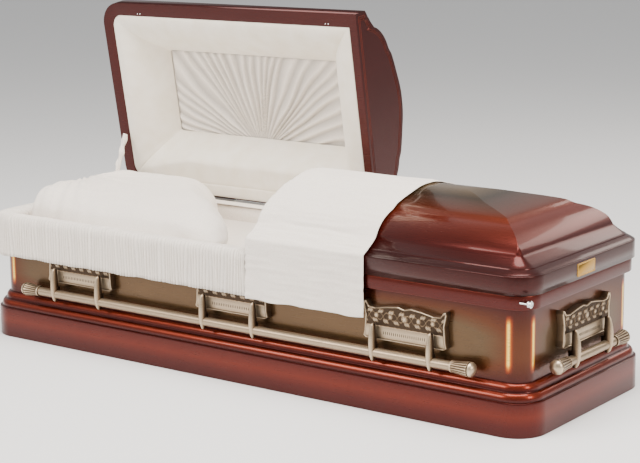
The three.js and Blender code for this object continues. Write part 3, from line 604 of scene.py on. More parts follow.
def lid_path(inset, extra, cut, side):
    """The lid's outline at one level, from the cut round one end and back to the cut."""
    y = HALF_Y - inset
    end = HALF_X - inset - extra
    r = max(CORNER_RADIUS - inset, LEAST_RADIUS)
    corners = [arc(end - r, -y + r, r, -90), arc(end - r, y - r, r, 0)]
    path = np.concatenate([[[side * cut, -y]], *corners, [[side * cut, y]]])
    path[:, 0] *= side
    return path if side > 0 else path[::-1]


def lid_dome(cut, side):
    """The panel's domed sheet, open at the cut."""
    tone = (PROFILE[:, 0] - RIM_INSET) / (HALF_Y - RIM_INSET)
    rows = [raised(lid_path(inset, extra, cut, side), LID_Z + up) for inset, up, extra in PROFILE]
    dome = Shell().grid(rows, tone[:, None])
    top = len(dome.points) - len(rows[-1])
    dome.faces.append(tuple(range(top, len(dome.points))))
    return thicken(dome.object("dome"), SHEET, -1.0)


# The header's steps from its edge inwards, as [inset from the edge, distance out from the cut]:
# a rolled edge, then two narrow grooves that run all round a plain panel.
HEADER_STEPS = [
    (0, -1.2), (0, -0.6), (0.6, 0), (12, 0), (12.6, -0.9), (14.4, -0.9),
    (15, 0), (19, 0), (19.6, -0.9), (21.4, -0.9), (22, 0),
]


def lid_header(cut, side):
    """The panel's wall across its cut end, in the shape of the dome's section."""
    inset_at, height_at = PROFILE[1:, 0], PROFILE[1:, 1]
    y_out = np.concatenate([PROFILE[:, 0] - HALF_Y, (HALF_Y - PROFILE[:, 0])[::-1]])
    z_out = LID_Z + np.concatenate([PROFILE[:, 1], PROFILE[::-1, 1]])
    # The tiny spread keeps equal insets apart, and the steepness is held below 2 on upright stretches
    spread = np.arange(len(inset_at)) * 1e-7
    steepness = np.minimum(np.hypot(1, np.gradient(height_at, inset_at + spread)), 2)
    rows, tones = [], []
    for inset, out in HEADER_STEPS:
        d = inset * MM
        reach = HALF_Y - RIM_INSET - d
        y = np.clip(y_out, -reach, reach)
        from_side = HALF_Y - np.abs(y)
        ceiling = np.interp(from_side, inset_at, height_at) - d * np.interp(from_side, inset_at, steepness)
        z = np.clip(z_out, LID_Z + d, np.maximum(LID_Z + ceiling, LID_Z + d))
        rows.append(np.column_stack([np.full(len(y), cut - side * out * MM), y, z]))
        # Painted highlights: the grooves are given a lighter tone than the rest of the header
        tones.append(0.45 if out < -0.5 and inset > 1 else 0.12)
    return Shell().grid(rows, np.array(tones)[:, None], wrap_columns=True, caps=True).object("header")


def lid_flange(cut, side):
    """The flat frame that closes on the case, with a rolled inner edge."""
    inner = FLANGE / MM
    rows = []
    for inset, up in [(0.6, 0), (inner - 3, 0), (inner, 1), (inner, 2.2), (inner - 3, 1.2), (0.6, 1.2)]:
        share = inset / inner
        path = lid_path(RIM_INSET + inset * MM, 0, cut + side * HEADER_FLANGE * share, side)
        rows.append(raised(path, LID_Z + up * MM))
    return Shell().grid(rows, 0.1, wrap_rows=True, wrap_columns=True).object("flange")


def lid(name, cut, side):
    return joined(name, [lid_dome(cut, side), lid_header(cut, side), lid_flange(cut, side)])


# Lining of the lids

def lining_span(cut, side):
    far = HALF_X - RIM_INSET - FLANGE
    return (cut + HEADER_FLANGE, far) if side > 0 else (-far, cut - HEADER_FLANGE)


def lining_rolls(name, span, cut_way):
    """Four plump padded sides that slope in to the panel, each pair meeting in one mitre seam."""
    x0, x1 = span
    half_x, edge = (x1 - x0) / 2, HALF_Y - RIM_INSET - FLANGE
    centre = (x0 + x1) / 2
    per_side = 150
    hinge_side, hinge_swell, swell_size = 1, 4.0, 9 * MM
    waves_a_metre, puckers_a_metre = 12, 55
    seam_pinch, seam_ease = 7 * MM, 60 * MM
    t = np.linspace(0, 4, 4 * per_side, endpoint=False)
    side, f = t.astype(int), (t - t.astype(int))[:, None]

    def loop(inwards, z, swell):
        hx, hy = half_x - inwards, edge - inwards
        corners = np.array([(hx, -hy), (hx, hy), (-hx, hy), (-hx, -hy)])
        p = corners[side] * (1 - f) + corners[(side + 1) % 4] * f
        length = np.linalg.norm(corners[(side + 1) % 4] - corners[side], axis=1)
        seam = np.minimum(f[:, 0], 1 - f[:, 0]) * length
        # Corners are nearly square at the cut and rounded at the casket's end
        wide = max(CORNER_RADIUS / 2 - inwards / 4, 4 * MM)
        r = np.where(np.sign(p[:, 0]) == cut_way, 3 * MM, wide)
        centres = np.column_stack([hx - r, hy - r])
        away = np.abs(p) - centres
        beyond = np.linalg.norm(away, axis=1)
        cut_off = (away > 0).all(1) & (beyond > r)
        on_arc = np.sign(p) * (centres + away * (r / np.maximum(beyond, 1e-9))[:, None])
        p = np.where(cut_off[:, None], on_arc, p)
        # The padding swells between the seams, waves along the sides and puckers where it is tucked in
        wave = np.array([drift(a * waves_a_metre, b * waves_a_metre, z * 9) for a, b in p])
        pucker = np.array([drift(a * puckers_a_metre, b * puckers_a_metre, 3.0) for a, b in p])
        tucked = np.clip((z - LINING_Z) / ROLL_DEPTH, 0, 1) ** 3
        plump = np.where(side == hinge_side, hinge_swell, 1.0) * (1 - 0.5 * np.exp(-seam / seam_pinch))
        lift = swell * np.minimum(plump, 1 + seam / seam_ease) * (1 + 0.1 * wave)
        lift += (wave * 1.2 + pucker * (0.4 + 2.4 * tucked)) * MM * np.minimum(1, swell / (4 * MM))
        return np.column_stack([p[:, 0] + centre, p[:, 1], np.maximum(z - lift, LINING_Z - 2 * MM)])

    rows = [loop(-2 * MM, LINING_Z + 2 * MM, 0), loop(1 * MM, LINING_Z, 0)]
    for s in np.linspace(0.03, 0.97, 20):
        swell = swell_size * math.sin(math.pi * s) ** 0.7
        rows.append(loop(ROLL_WIDTH * s, LINING_Z + ROLL_DEPTH * s ** 1.75, swell))
    rows.append(loop(ROLL_WIDTH, LINING_Z + ROLL_DEPTH + 2 * MM, 0))
    rows.append(loop(ROLL_WIDTH - ROLL_THICK, LINING_Z + ROLL_DEPTH + 2 * MM, 0))
    rows.append(loop(-2 * MM, LINING_Z + ROLL_THICK / 2, 0))
    return Shell().grid(rows, wrap_rows=True, wrap_columns=True).object(name, 60)


def lining_panel(name, span):
    """The fan-pleated panel: uneven rays that spread from the middle of its hinge side."""
    inwards = ROLL_WIDTH - ROLL_THICK
    x0, x1 = span[0] + inwards, span[1] - inwards
    edge = HALF_Y - RIM_INSET - FLANGE - inwards
    z = LINING_Z + ROLL_DEPTH + 9 * MM
    hub_out, tallest, kinds, steep_share = 30 * MM, 15 * MM, 64, 0.3
    flat_border, border_rise = 14 * MM, 16 * MM
    x, y = np.meshgrid(np.linspace(x0, x1, 330), np.linspace(-edge, edge, 165))
    dx, dy = x - (x0 + x1) / 2, edge + hub_out - y
    angle, far = np.arctan2(dy, dx), np.hypot(dx, dy)
    # Each ray rises fast on one side and falls slowly on the other
    wander = np.vectorize(lambda a, r: drift(a * 5, r * 5, 3.0))(angle, far)
    phase = angle / math.pi * PLEATS + 0.5 * wander + 0.35 * np.sin(angle * 9)
    ray = np.floor(phase).astype(int) % kinds
    saw = phase - np.floor(phase)
    fold = np.where(saw < steep_share, saw / steep_share, ((1 - saw) / (1 - steep_share)) ** 1.4)
    depth = RNG.uniform(0.55, 1.0, kinds)[ray]
    # Each ray runs out at its own distance from the hub, and all are flat at the border
    to_end = (x1 - x0) / 2 / np.maximum(np.abs(np.cos(angle)), 1e-6)
    to_front = (2 * edge + hub_out) / np.maximum(np.sin(angle), 1e-6)
    to_edge = np.minimum(to_end, to_front)
    reach = to_edge * RNG.uniform(0.74, 0.93, kinds)[ray]
    fade = 1 - np.clip((far - reach) / (0.3 * to_edge), 0, 1)
    rise = tallest * depth * np.clip(far / (150 * MM), 0.2, 1) * fade ** 1.3
    border = np.minimum.reduce([x - x0, x1 - x, y + edge, edge - y])
    rise *= np.clip((border - flat_border) / border_rise, 0, 1)
    slack = 1.5 * MM * np.vectorize(lambda a, b: drift(a * 14, b * 14, 8.0))(x, y)
    # Painted shade: the tone is low in the rays' valleys, and the crepe darkens them there
    crest = np.where(rise > 2 * MM, 0.95 * fold, 0.78)
    sheet = Shell().grid(np.stack([x, y, z - rise * fold - np.abs(slack)], -1), crest).object(name, 80)
    return thicken(sheet, 1 * MM)


def apron(name, x0, x1, inset, z, side_up):
    """A strip of lining cloth along the hinge side, over a flange of the case or of a lid."""
    inner, outer = HALF_Y - inset - FLANGE - 3 * MM, HALF_Y - inset - 4 * MM
    rows = []
    for x in np.linspace(x0, x1, 160):
        row = []
        for t in np.linspace(0, 1, 12):
            ripple = abs(drift(x * 22, t * 2, 6)) * 0.8 * MM * math.sin(math.pi * t)
            turned_in = side_up * -2.5 * MM * max(0, 1 - t * 12)
            row.append((x, inner + (outer - inner) * t, z + side_up * ripple + turned_in))
        rows.append(row)
    return thicken(Shell().grid(rows).object(name, 60), 0.5 * MM)


# Bed

def mattress():
    """The mattress: a padded block with rounded sides."""
    low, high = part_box("mattress")
    rows = []
    for s in np.linspace(0, 1, 9):
        bow = 18 * MM * abs(2 * s - 1) ** 4
        outline = rounded(low.x + bow, high.x - bow, low.y + bow, high.y - bow, CORNER_RADIUS / 3)
        rows.append(raised(outline, low.z + (high.z - low.z) * s))
    return Shell().grid(rows, wrap_columns=True, caps=True).object("mattress_pad", 50)


def side_lining():
    """Padded crepe round the inside of the case, in soft upright tucks."""
    low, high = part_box("side_lining")
    outer, depth, count, tightest, spacing = HALF_Y - high.y, 20 * MM, 900, 8 * MM, 5 * MM
    # From the foot to the top: share of the height, share of the depth
    section = [(0, 0.1), (0, 0.5), (0.02, 0.9), (0.2, 1), (0.5, 1)]
    section += [(0.8, 1), (0.97, 0.92), (1, 0.6), (1, 0.1)]
    rows = []
    for up, across in section:
        inset = outer + depth * across
        x, y = HALF_X - inset, HALF_Y - inset
        loop = rounded(-x, x, -y, y, max(CORNER_RADIUS - inset, tightest), 12, spacing)
        at = np.linspace(0, len(loop), count, endpoint=False)
        i, f = at.astype(int), (at - at.astype(int))[:, None]
        loop = loop[i % len(loop)] * (1 - f) + loop[(i + 1) % len(loop)] * f
        tuck = np.array([drift(k * 0.11, up * 2.0, 7.0) for k in range(count)])
        ease = 2.5 * MM * math.sin(math.pi * up) * (across > 0.8)
        loop = loop + loop / np.linalg.norm(loop, axis=1)[:, None] * (ease * (0.5 + tuck))[:, None]
        rows.append(raised(loop, low.z + (high.z - low.z) * up))
    pad = Shell().grid(rows, wrap_columns=True).object("side_lining_inner", 60)
    end = HALF_X - 2 * CORNER_RADIUS
    over = apron("over_ledge", -end, end, LEDGE_INSET, ledge_high.z + 0.6 * MM, 1)
    return joined("side_lining_pad", [pad, over])


def pillow_outline(steps=12):
    """The pillow's plan and its fullest point: straight in front, its far corner swept off."""
    low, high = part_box("pillow")
    length, half = high.x - low.x, (high.y - low.y) / 2

    def at(along, across):
        """A place given in shares of the pillow's length and of its half width."""
        return np.array([low.x + length * along, half * across])

    def curve(*control):
        """A Bezier curve between its first and last points, without the last one."""
        points = []
        for t in np.linspace(0, 1, steps, endpoint=False):
            level = [np.array(c) for c in control]
            while len(level) > 1:
                level = [a * (1 - t) + b * t for a, b in zip(level, level[1:])]
            points.append(level[0])
        return points

    outline = curve(at(0.067, -0.97), at(0.856, -1))
    outline += curve(at(0.856, -1), at(1, -1), at(0.972, -0.746))
    outline += curve(at(0.972, -0.746), at(0.922, -0.218), at(0.633, 0.218), at(0.556, 0.726))
    outline += curve(at(0.556, 0.726), at(0.511, 1), at(0.378, 1))
    outline += curve(at(0.378, 1), at(0.067, 1)) + curve(at(0.067, 1), at(0, 1), at(0, 0.746))
    outline += curve(at(0, 0.746), at(0, -0.71)) + curve(at(0, -0.71), at(0, -0.97), at(0.067, -0.97))
    return np.array(outline), at(0.411, 0.218)


def inflate(obj, pressure, cap, frames=20, voxel=6 * MM):
    """Puffs a closed shape with a cloth simulation, no point moving further than the cap."""
    remesh = obj.modifiers.new("remesh", "REMESH")
    remesh.mode = "VOXEL"
    remesh.voxel_size = voxel
    applied(obj)
    rest = points_of(obj)
    cloth = obj.modifiers.new("cloth", "CLOTH")
    cloth.settings.use_pressure = True
    cloth.settings.uniform_pressure_force = pressure
    cloth.settings.effector_weights.gravity = 0
    cloth.settings.quality = 4
    cloth.point_cache.frame_start, cloth.point_cache.frame_end = 1, frames
    for step in range(1, frames + 1):
        bpy.context.scene.frame_set(step)
    applied(obj)
    bpy.context.scene.frame_set(1)
    moved = points_of(obj) - rest
    length = np.linalg.norm(moved, axis=1)[:, None]
    move_points(obj, rest + moved * np.minimum(1, cap / np.maximum(length, 1e-9)))


# The pillow's plan at each level: share of its height, share of its full size
PILLOW_LEVELS = [(0, 0.9), (0.12, 0.985), (0.3, 1), (0.55, 0.93), (0.8, 0.74), (0.94, 0.5), (1, 0.12)]


def pillow():
    """The big pillow: plump and steep at its head end, sloping down to the front and to its swept corner."""
    outline, centre = pillow_outline()
    low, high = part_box("pillow")
    rows = []
    for s in np.linspace(0, 1, 17):
        share = np.interp(s, *zip(*PILLOW_LEVELS))
        away = outline - centre
        steep_x = np.where(away[:, 0] < 0, 1 - (1 - share) * 0.16, share)
        from_head = np.clip((outline[:, 0] - low.x) / (380 * MM), 0, 1)
        steep_y = 1 - (1 - share) * np.where(away[:, 1] > 0, 0.6, 0.3 + 0.7 * from_head)
        plan = centre + away * np.column_stack([steep_x, steep_y]) * 0.985
        rows.append(raised(plan, low.z + 4 * MM + (high.z - low.z - 14 * MM) * s))
    obj = Shell().grid(rows, wrap_columns=True, caps=True).object("pillow_pad", 180)
    inflate(obj, 4.0, 9 * MM)
    smooth = obj.modifiers.new("ease", "SMOOTH")
    smooth.iterations = 4
    subdivide = obj.modifiers.new("finer", "SUBSURF")
    subdivide.levels = subdivide.render_levels = 1
    applied(obj)
    # Long drag folds that spread from one point at the head end, and creases all over
    co = points_of(obj)
    out = np.array([v.normal for v in obj.data.vertices])
    hub = (low.x + 30 * MM, 20 * MM)
    drag_size, drag_reach, crease_size, slack = 14 * MM, 300 * MM, 3.4 * MM, 4 * MM
    for i, p in enumerate(co):
        away = math.hypot(p[0] - hub[0], (p[1] - hub[1]) * 0.8)
        ray = math.atan2(p[1] - hub[1], p[0] - hub[0])
        drag = drift(ray * 8, away * 2.5, 1.0) * math.exp(-away / drag_reach) * drag_size
        creases = drift(p[0] * 7, p[1] * 15, p[2] * 9) * crease_size
        co[i] += out[i] * (drag + creases)
    co = np.clip(co, np.array(low) - slack, np.array(high) + slack)
    co[:, 2] = np.maximum(co[:, 2], low.z)
    move_points(obj, co)
    obj.data.shade_smooth()
    # The remesh drops the tone, so it is given again
    paint(obj.data, "tone", np.full(len(co), 0.8))
    return obj


# Cloths

def gathers(along, down, pitch, seed):
    """Uneven folds of gathered cloth, from 0 in their sharp valleys to 1 on their round crests."""
    wander = drift(along / (3.1 * pitch), down * 0.9, seed) * 0.9
    wide = abs(math.sin(math.pi * (along / pitch + wander))) ** 0.75
    fine = drift(along / (0.55 * pitch), down * 3, seed + 5)
    tall = 0.75 + 0.25 * drift(along / (1.7 * pitch), down * 1.5, seed + 9)
    return wide * tall * 0.8 + 0.2 * (0.5 + 0.5 * fine)


def overlay():
    """Gathered crepe turned over the ledge, along the front of the head section and round the head end."""
    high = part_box("overlay")[1]
    pitch, depth, count, seed = 12 * MM, 10 * MM, 1150, 2.0
    # The section hangs outside the ledge, goes over it and hangs inside: inset and height
    outer = [(6, z) for z in (279, 292, 308, 324, 340, 356, 372, 388, 402)] + [(9, 412)]
    inner = [(15, 416.5), (28, 417), (42, 416), (56, 414.5), (67, 410), (72, 401)]
    inner += [(72.5, z) for z in (386, 371, 356)]
    section = np.array(outer + inner) * MM
    drop = run_along(section)
    rows, tones = [], []
    for k, (inset, z) in enumerate(section):
        y, end = HALF_Y - inset, HALF_X - inset
        r = max(CORNER_RADIUS - inset, 14 * MM)
        corner = arc(-end + r, -y + r, r, 180, 24)[::-1]
        path = np.concatenate([[[high.x + 0.4 * MM, -y]], corner, [[-end, high.y - 1 * MM]]])
        length = run_along(path)
        at = np.linspace(0, length[-1], count)
        loop = np.column_stack([np.interp(at, length, path[:, i]) for i in range(2)])
        tangent = np.gradient(loop, axis=0)
        tangent /= np.linalg.norm(tangent, axis=1)[:, None]
        outward = np.column_stack([tangent[:, 1], -tangent[:, 0]])
        outward *= np.sign((outward * loop).sum(1))[:, None]
        slope = section[min(k + 1, len(section) - 1)] - section[max(k - 1, 0)]
        slope = slope / np.linalg.norm(slope)
        fold = np.array([gathers(a, drop[k] * 4, pitch, seed) for a in at])
        shift = (fold - 0.5) * depth * (1.0 if z < 0.4 and k < len(outer) else 0.6)
        loop = loop + outward * (shift * slope[1])[:, None]
        hem = np.array([drift(a * 13, 0, 1) for a in at]) * (4 * MM if k == 0 else 0)
        rows.append(raised(loop, z + shift * abs(slope[0]) + hem))
        # Painted shade: the tone is low in the gathers' valleys, and the crepe darkens them there
        tones.append(0.1 + 0.9 * fold)
    return thicken(Shell().grid(rows, np.array(tones)).object("overlay_cloth", 80), 1.2 * MM)


def throw_cloth():
    """Crepe thrown over the end of the foot panel: it follows the dome and hangs down in front."""
    low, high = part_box("throw")
    x0, x1 = FOOT_CUT - 4.8 * MM, high.x
    clear, spacing, hanging_part = 3.4 * MM, 4.5 * MM, 150 * MM
    # The line that the cloth follows from its front hem over the dome, as y and z
    keep = PROFILE[PROFILE[:, 1] > 8 * MM]
    front = [(-(HALF_Y - inset) - clear * 0.7, LID_Z + up + clear * 0.75) for inset, up, _ in keep]
    back = [(-y, z) for y, z in front[::-1] if -y < high.y]
    edge_y, edge_z = front[0]
    hang = [(edge_y - 3 * MM * (1 - s), low.z + (edge_z - low.z) * s) for s in np.linspace(0, 0.94, 16)]
    line = np.array(hang + front + back)
    length = run_along(line)
    rows_at = np.arange(0, length[-1], spacing)
    y_line = np.interp(rows_at, length, line[:, 0])
    z_line = np.interp(rows_at, length, line[:, 1])
    tangent = np.column_stack([np.gradient(y_line), np.gradient(z_line)])
    tangent /= np.linalg.norm(tangent, axis=1)[:, None]
    out = np.column_stack([-tangent[:, 1], tangent[:, 0]])
    rows = []
    for k, s in enumerate(rows_at):
        hanging = max(0.0, 1 - s / hanging_part)
        row = []
        for c in np.linspace(0, 1, 120):
            x = x0 + (x1 - x0 - 1.5 * MM) * c
            # Ridges across the cloth, free waves where it hangs, and a soft unevenness all over
            ridge = drift(x * 9, s * 85, 4) * 3.2 * MM
            swing = math.sin(x * 46 + 2.2 * drift(x * 6, s * 4, 1)) * 5 * MM * hanging
            soft = drift(x * 7, s * 6, 9) * 2.5 * MM
            settled = 1 - max(0, (c - 0.93) / 0.07) * (1 - hanging) * 0.9
            rise = max((ridge + soft + swing + 1.5 * MM) * settled, -1.6 * MM)
            hem = 5 * MM * abs(drift(x * 11, 0, 2)) * (k == 0)
            edge = 2.5 * MM * abs(drift(s * 6, 5, 2)) * c ** 12
            row.append((x - edge, y_line[k] + out[k, 0] * rise, z_line[k] + out[k, 1] * rise + hem))
        rows.append(row)
    return thicken(Shell().grid(rows).object("throw_over_foot_panel", 80), 1.4 * MM)


def lid_stay():
    """The crepe sleeve between the open lid and the case, twisted along its length."""
    low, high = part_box("lid_stay")
    r = 12.5 * MM
    top = Vector((low.x + r, high.y - r, high.z - r * 0.7))
    foot = Vector(((low.x + high.x) / 2, low.y + r, low.z + r * 0.8))
    knee = Vector((high.x - r, (low.y + high.y) / 2 - 14 * MM, (low.z * 2 + high.z) / 3))
    rows = []
    for t in np.linspace(0, 1, 70):
        centre = foot * (1 - t) ** 2 + knee * 2 * t * (1 - t) + top * t ** 2
        ring = []
        for a in around(28):
            twist = a + t * 8
            radius = r * (0.8 + 0.2 * math.cos(3 * twist)) * (1 - 0.3 * math.sin(t * 17) ** 2)
            ring.append(tuple(centre + Vector((math.cos(a), math.sin(a) * 0.8, -math.sin(a) * 0.5)) * radius))
        rows.append(ring)
    return Shell().grid(rows, wrap_columns=True, caps=True).object("lid_stay_sleeve", 60)


# Handles: made in the wall's own frame, as u along it, distance out from it and height

WALLS = {"front": (0, WALL_Y), "back": (180, WALL_Y), "foot_end": (90, WALL_X), "head_end": (-90, WALL_X)}


def on_wall(wall_name, points):
    """Points of a wall's own frame, in the casket's frame."""
    angle, distance = WALLS[wall_name]
    p = np.asarray(points, float)
    x, y = p[..., 0], -(distance + p[..., 1])
    c, s = math.cos(math.radians(angle)), math.sin(math.radians(angle))
    return np.stack([c * x - s * y, s * x + c * y, p[..., 2]], -1)


def plate_relief(u, w):
    """Height of the plate's ornament in millimetres: a ribbed ground, two leafy vines and five flowers."""
    vine, flowers = 71, 72
    height = 0.7 + 0.5 * math.cos(u * 1.6)
    for phase in (0, math.pi):
        stem = vine + 11 * math.sin(u * 0.13 + phase)
        height = max(height, 2.4 - (abs(w - stem) / 1.5) ** 2)
    for k in range(-7, 8):
        for lean in (-1, 1):
            up = lean * (1 if k % 2 else -1)
            leaf_u, leaf_w, a = k * 18 + 5 * lean, vine + 14 * up, 0.8 * up
            du, dw = u - leaf_u, w - leaf_w
            p, q = du * math.cos(a) + dw * math.sin(a), -du * math.sin(a) + dw * math.cos(a)
            leaf = 1 - (p / 9.5) ** 2 - (q / (4.8 - 0.15 * abs(p))) ** 2
            if leaf > 0:
                height = max(height, 3.8 * leaf ** 0.5 - 1.2 * math.exp(-(q / 0.7) ** 2))
    for flower_u, size in ((0, 14), (-48, 10), (48, 10), (-96, 10), (96, 10)):
        du, dw = u - flower_u, w - flowers
        away, lobe = math.hypot(du, dw), abs(math.cos(2.5 * math.atan2(dw, du)))
        petal = size * (0.74 + 0.26 * lobe)
        if away < petal:
            height = max(height, 4 * math.sqrt(1 - (away / petal) ** 2) - 1.2 * lobe ** 6)
        if away < size * 0.26:
            height = 4.2
    return height


# The plate's outline: its height along its half length, and its half length along its height
PLATE_CREST = [(0, 100.8), (23, 106.4), (60, 101.9), (103, 94), (126, 96.3), (136, 110), (143, 111.5)]
PLATE_WAIST = [(0, 131), (0.06, 142), (0.2, 138), (0.62, 135), (0.9, 142), (1, 139)]


def plate(name, wall_name, centre):
    """A cast plate with scrolled corners, a beaded border, its relief and a plain lower band."""
    half, tall, foot, depth = 143.0, 112.0, 213.0, 25.0
    border, bead_width, band_top, ground = 6, 5.5, 42, depth - 4.2
    columns, lines = 230, 84
    rows, tones = [], []
    for j in range(-1, lines + 1):
        t = min(max(j / (lines - 1), 0), 1)
        row, tone = [], []
        for i in range(-1, columns + 1):
            s = min(max(2 * i / (columns - 1) - 1, -1), 1)
            u = s * np.interp(t, *zip(*PLATE_WAIST))
            w = t * np.interp(abs(s) * half, *zip(*PLATE_CREST))
            rim = min(t * tall, (1 - t) * tall, (1 - abs(s)) * half)
            if j in (-1, lines) or i in (-1, columns):
                out, value = GAP / MM, 0.42
            elif rim < border:
                bead = math.sin(math.pi * min(rim / bead_width, 1))
                out = depth - 4 + 3.2 * bead - (1.5 if rim < 0.5 else 0)
                value = 0.5 + 0.5 * bead
            elif w < band_top:
                swell = math.sin(math.pi * min((w - 4) / 40, 1)) ** 0.4
                out, value = depth - 3.2 + 3.0 * swell, 0.5 + 0.35 * swell
            else:
                relief = plate_relief(u, w)
                out, value = ground + relief, 0.1 + 0.21 * max(relief, 0)
            row.append((centre + u * MM, out * MM, (foot + w) * MM))
            tone.append(min(value, 1))
        rows.append(row)
        tones.append(tone)
    return Shell().grid(on_wall(wall_name, rows), np.array(tones)).object(name, 70)


# How full an arm is along its length: share of the way up, share of its fullest
ARM_BELLY = [
    (0, 0.06), (0.012, 0.28), (0.04, 0.46), (0.09, 0.64), (0.16, 0.8), (0.25, 0.92), (0.36, 1),
    (0.48, 1), (0.6, 0.97), (0.72, 0.88), (0.83, 0.74), (0.92, 0.6), (0.97, 0.46), (1, 0.1),
]


def arm(name, wall_name, u):
    """A drop-shaped arm: slim where it hangs from its pivot, full and round where it holds the bar."""
    low, top = BAR_Z - 27 * MM, PIVOT_Z + 9 * MM
    deepest, widest, squareness = 20 * MM, 12 * MM, 1.75
    plate_from, clear_of_plate = 203 * MM, 8.8 * MM
    rows, tones = [], []
    for t in np.linspace(0, 1, 34) ** 1.15:
        belly = np.interp(t, *zip(*ARM_BELLY))
        z = low + (top - low) * t
        deep, wide = deepest * belly, widest * belly
        near = min(deep, clear_of_plate) if z > plate_from else deep
        ring, tone = [], []
        for a in around(32):
            c, s = math.cos(a), math.sin(a)
            squared = (abs(c) ** squareness + abs(s) ** squareness) ** (-1 / squareness)
            ring.append((u + c * squared * wide, PIVOT_OFF + s * squared * (deep if s > 0 else near), z))
            tone.append(0.22 + 0.68 * max(s, 0) ** 1.5)
        rows.append(ring)
        tones.append(tone)
    shell = Shell().grid(on_wall(wall_name, rows), np.array(tones), wrap_columns=True, caps=True)
    return shell.object(name, 50)


def turned(wall_name, profile, start, sides, flutes=0, way=1):
    """A piece turned about the bar's line, from (distance along, radius, flute depth, tone) points."""
    rows, tones = [], []
    for along, radius, flute, tone in profile:
        ring, shades = [], []
        for a in around(sides):
            groove = 0.5 + 0.5 * math.cos(flutes * a)
            r = (radius - flute * groove) * MM
            ring.append((start + way * along * MM, PIVOT_OFF + r * math.cos(a), BAR_Z + r * math.sin(a)))
            shades.append(tone * (1 - 0.75 * groove * min(flute, 1)))
        rows.append(ring)
        tones.append(shades)
    return Shell().grid(on_wall(wall_name, rows), np.array(tones), wrap_columns=True, caps=True)


def bar(name, wall_name, length):
    """The round bar, with its ends turned down inside the tips."""
    reach, thick, neck = length / 2 / MM + 18, BAR_RADIUS / MM, 12
    profile = [(-reach, neck, 0, 0.3), (-reach, thick, 0, 0.75), (0, thick, 0, 0.75)]
    profile += [(reach, thick, 0, 0.75), (reach, neck, 0, 0.3)]
    return turned(wall_name, profile, 0, 40).object(name)


def tip(name, wall_name, length, way):
    """A flared tip: a scalloped mouth, long flutes, a dark ring and a domed end."""
    profile = [(0, 14.3, 0, 0.2), (0, 17.2, 0, 0.8), (3, 18.2, 0.2, 1), (6, 17.4, 0.6, 0.7)]
    profile += [(14, 17.6, 1.3, 0.8), (28, 18.6, 1.6, 0.85), (42, 20.2, 1.8, 0.9), (54, 21.8, 1.4, 1)]
    profile += [(57, 22, 0.3, 1), (58.5, 20.4, 0, 0.1), (61, 20.2, 0, 0.1), (62, 21.6, 0, 0.9)]
    profile += [(65, 21.4, 0, 1), (70, 18.6, 0, 0.9), (74.5, 12.5, 0, 0.85), (77, 6, 0, 0.9), (78, 0.6, 0, 1)]
    return turned(wall_name, profile, way * length / 2, 96, 16, way).object(name, 40)


# Studs and rods: one small domed shape repeated on points

def stud_nodes():
    """A node tree that sets one small domed stud on each point of a mesh."""
    tree = bpy.data.node_groups.new("studs_on_points", "GeometryNodeTree")
    interface = tree.interface
    given_kinds = {"Geometry": "Geometry", "Width": "Float", "Height": "Float", "Material": "Material"}
    for name, kind in given_kinds.items():
        interface.new_socket(name, in_out="INPUT", socket_type="NodeSocket" + kind)
    interface.new_socket("Geometry", in_out="OUTPUT", socket_type="NodeSocketGeometry")
    given = tree.nodes.new("NodeGroupInput").outputs
    size = add(tree, "ShaderNodeCombineXYZ", {"X": given["Width"], "Y": given["Width"], "Z": given["Height"]})
    ball = add(tree, "GeometryNodeMeshIcoSphere", {"Radius": 0.5, "Subdivisions": 2})
    repeats = {"Points": given["Geometry"], "Instance": ball.outputs["Mesh"], "Scale": size.outputs[0]}
    placed = add(tree, "GeometryNodeInstanceOnPoints", repeats)
    real = add(tree, "GeometryNodeRealizeInstances", {"Geometry": placed.outputs[0]})
    smooth = add(tree, "GeometryNodeSetShadeSmooth", {"Geometry": real.outputs[0]})
    finish = {"Geometry": smooth.outputs[0], "Material": given["Material"]}
    done = add(tree, "GeometryNodeSetMaterial", finish)
    tree.links.new(done.outputs[0], tree.nodes.new("NodeGroupOutput").inputs[0])
    return tree


def studs(name, points, width, height, material, tree):
    mesh = bpy.data.meshes.new(name)
    mesh.from_pydata([tuple(p) for p in points], [], [])
    obj = new_object(name, mesh)
    modifier = obj.modifiers.new("repeat", "NODES")
    modifier.node_group = tree
    sockets = {s.name: s.identifier for s in tree.interface.items_tree if s.in_out == "INPUT"}
    modifier[sockets["Width"]] = width
    modifier[sockets["Height"]] = height
    modifier[sockets["Material"]] = material
    return applied(obj)


# Small fittings

def plaque():
    """A thin plaque with a raised border and a raised middle."""
    low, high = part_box("plaque")
    rows = []
    for edge, out in [(0, 0), (0, 0.7), (0.5, 1.2), (2.5, 1.2), (3, 0.8), (4, 0.8), (4.5, 1.2)]:
        e = edge * MM
        outline = rounded(low.y + e, high.y - e, low.z + e, high.z - e, 4 * MM - e, 6)
        rows.append(np.column_stack([np.full(len(outline), low.x + out * MM), outline]))
    return Shell().grid(rows, wrap_columns=True, caps=True).object("plaque_brass")


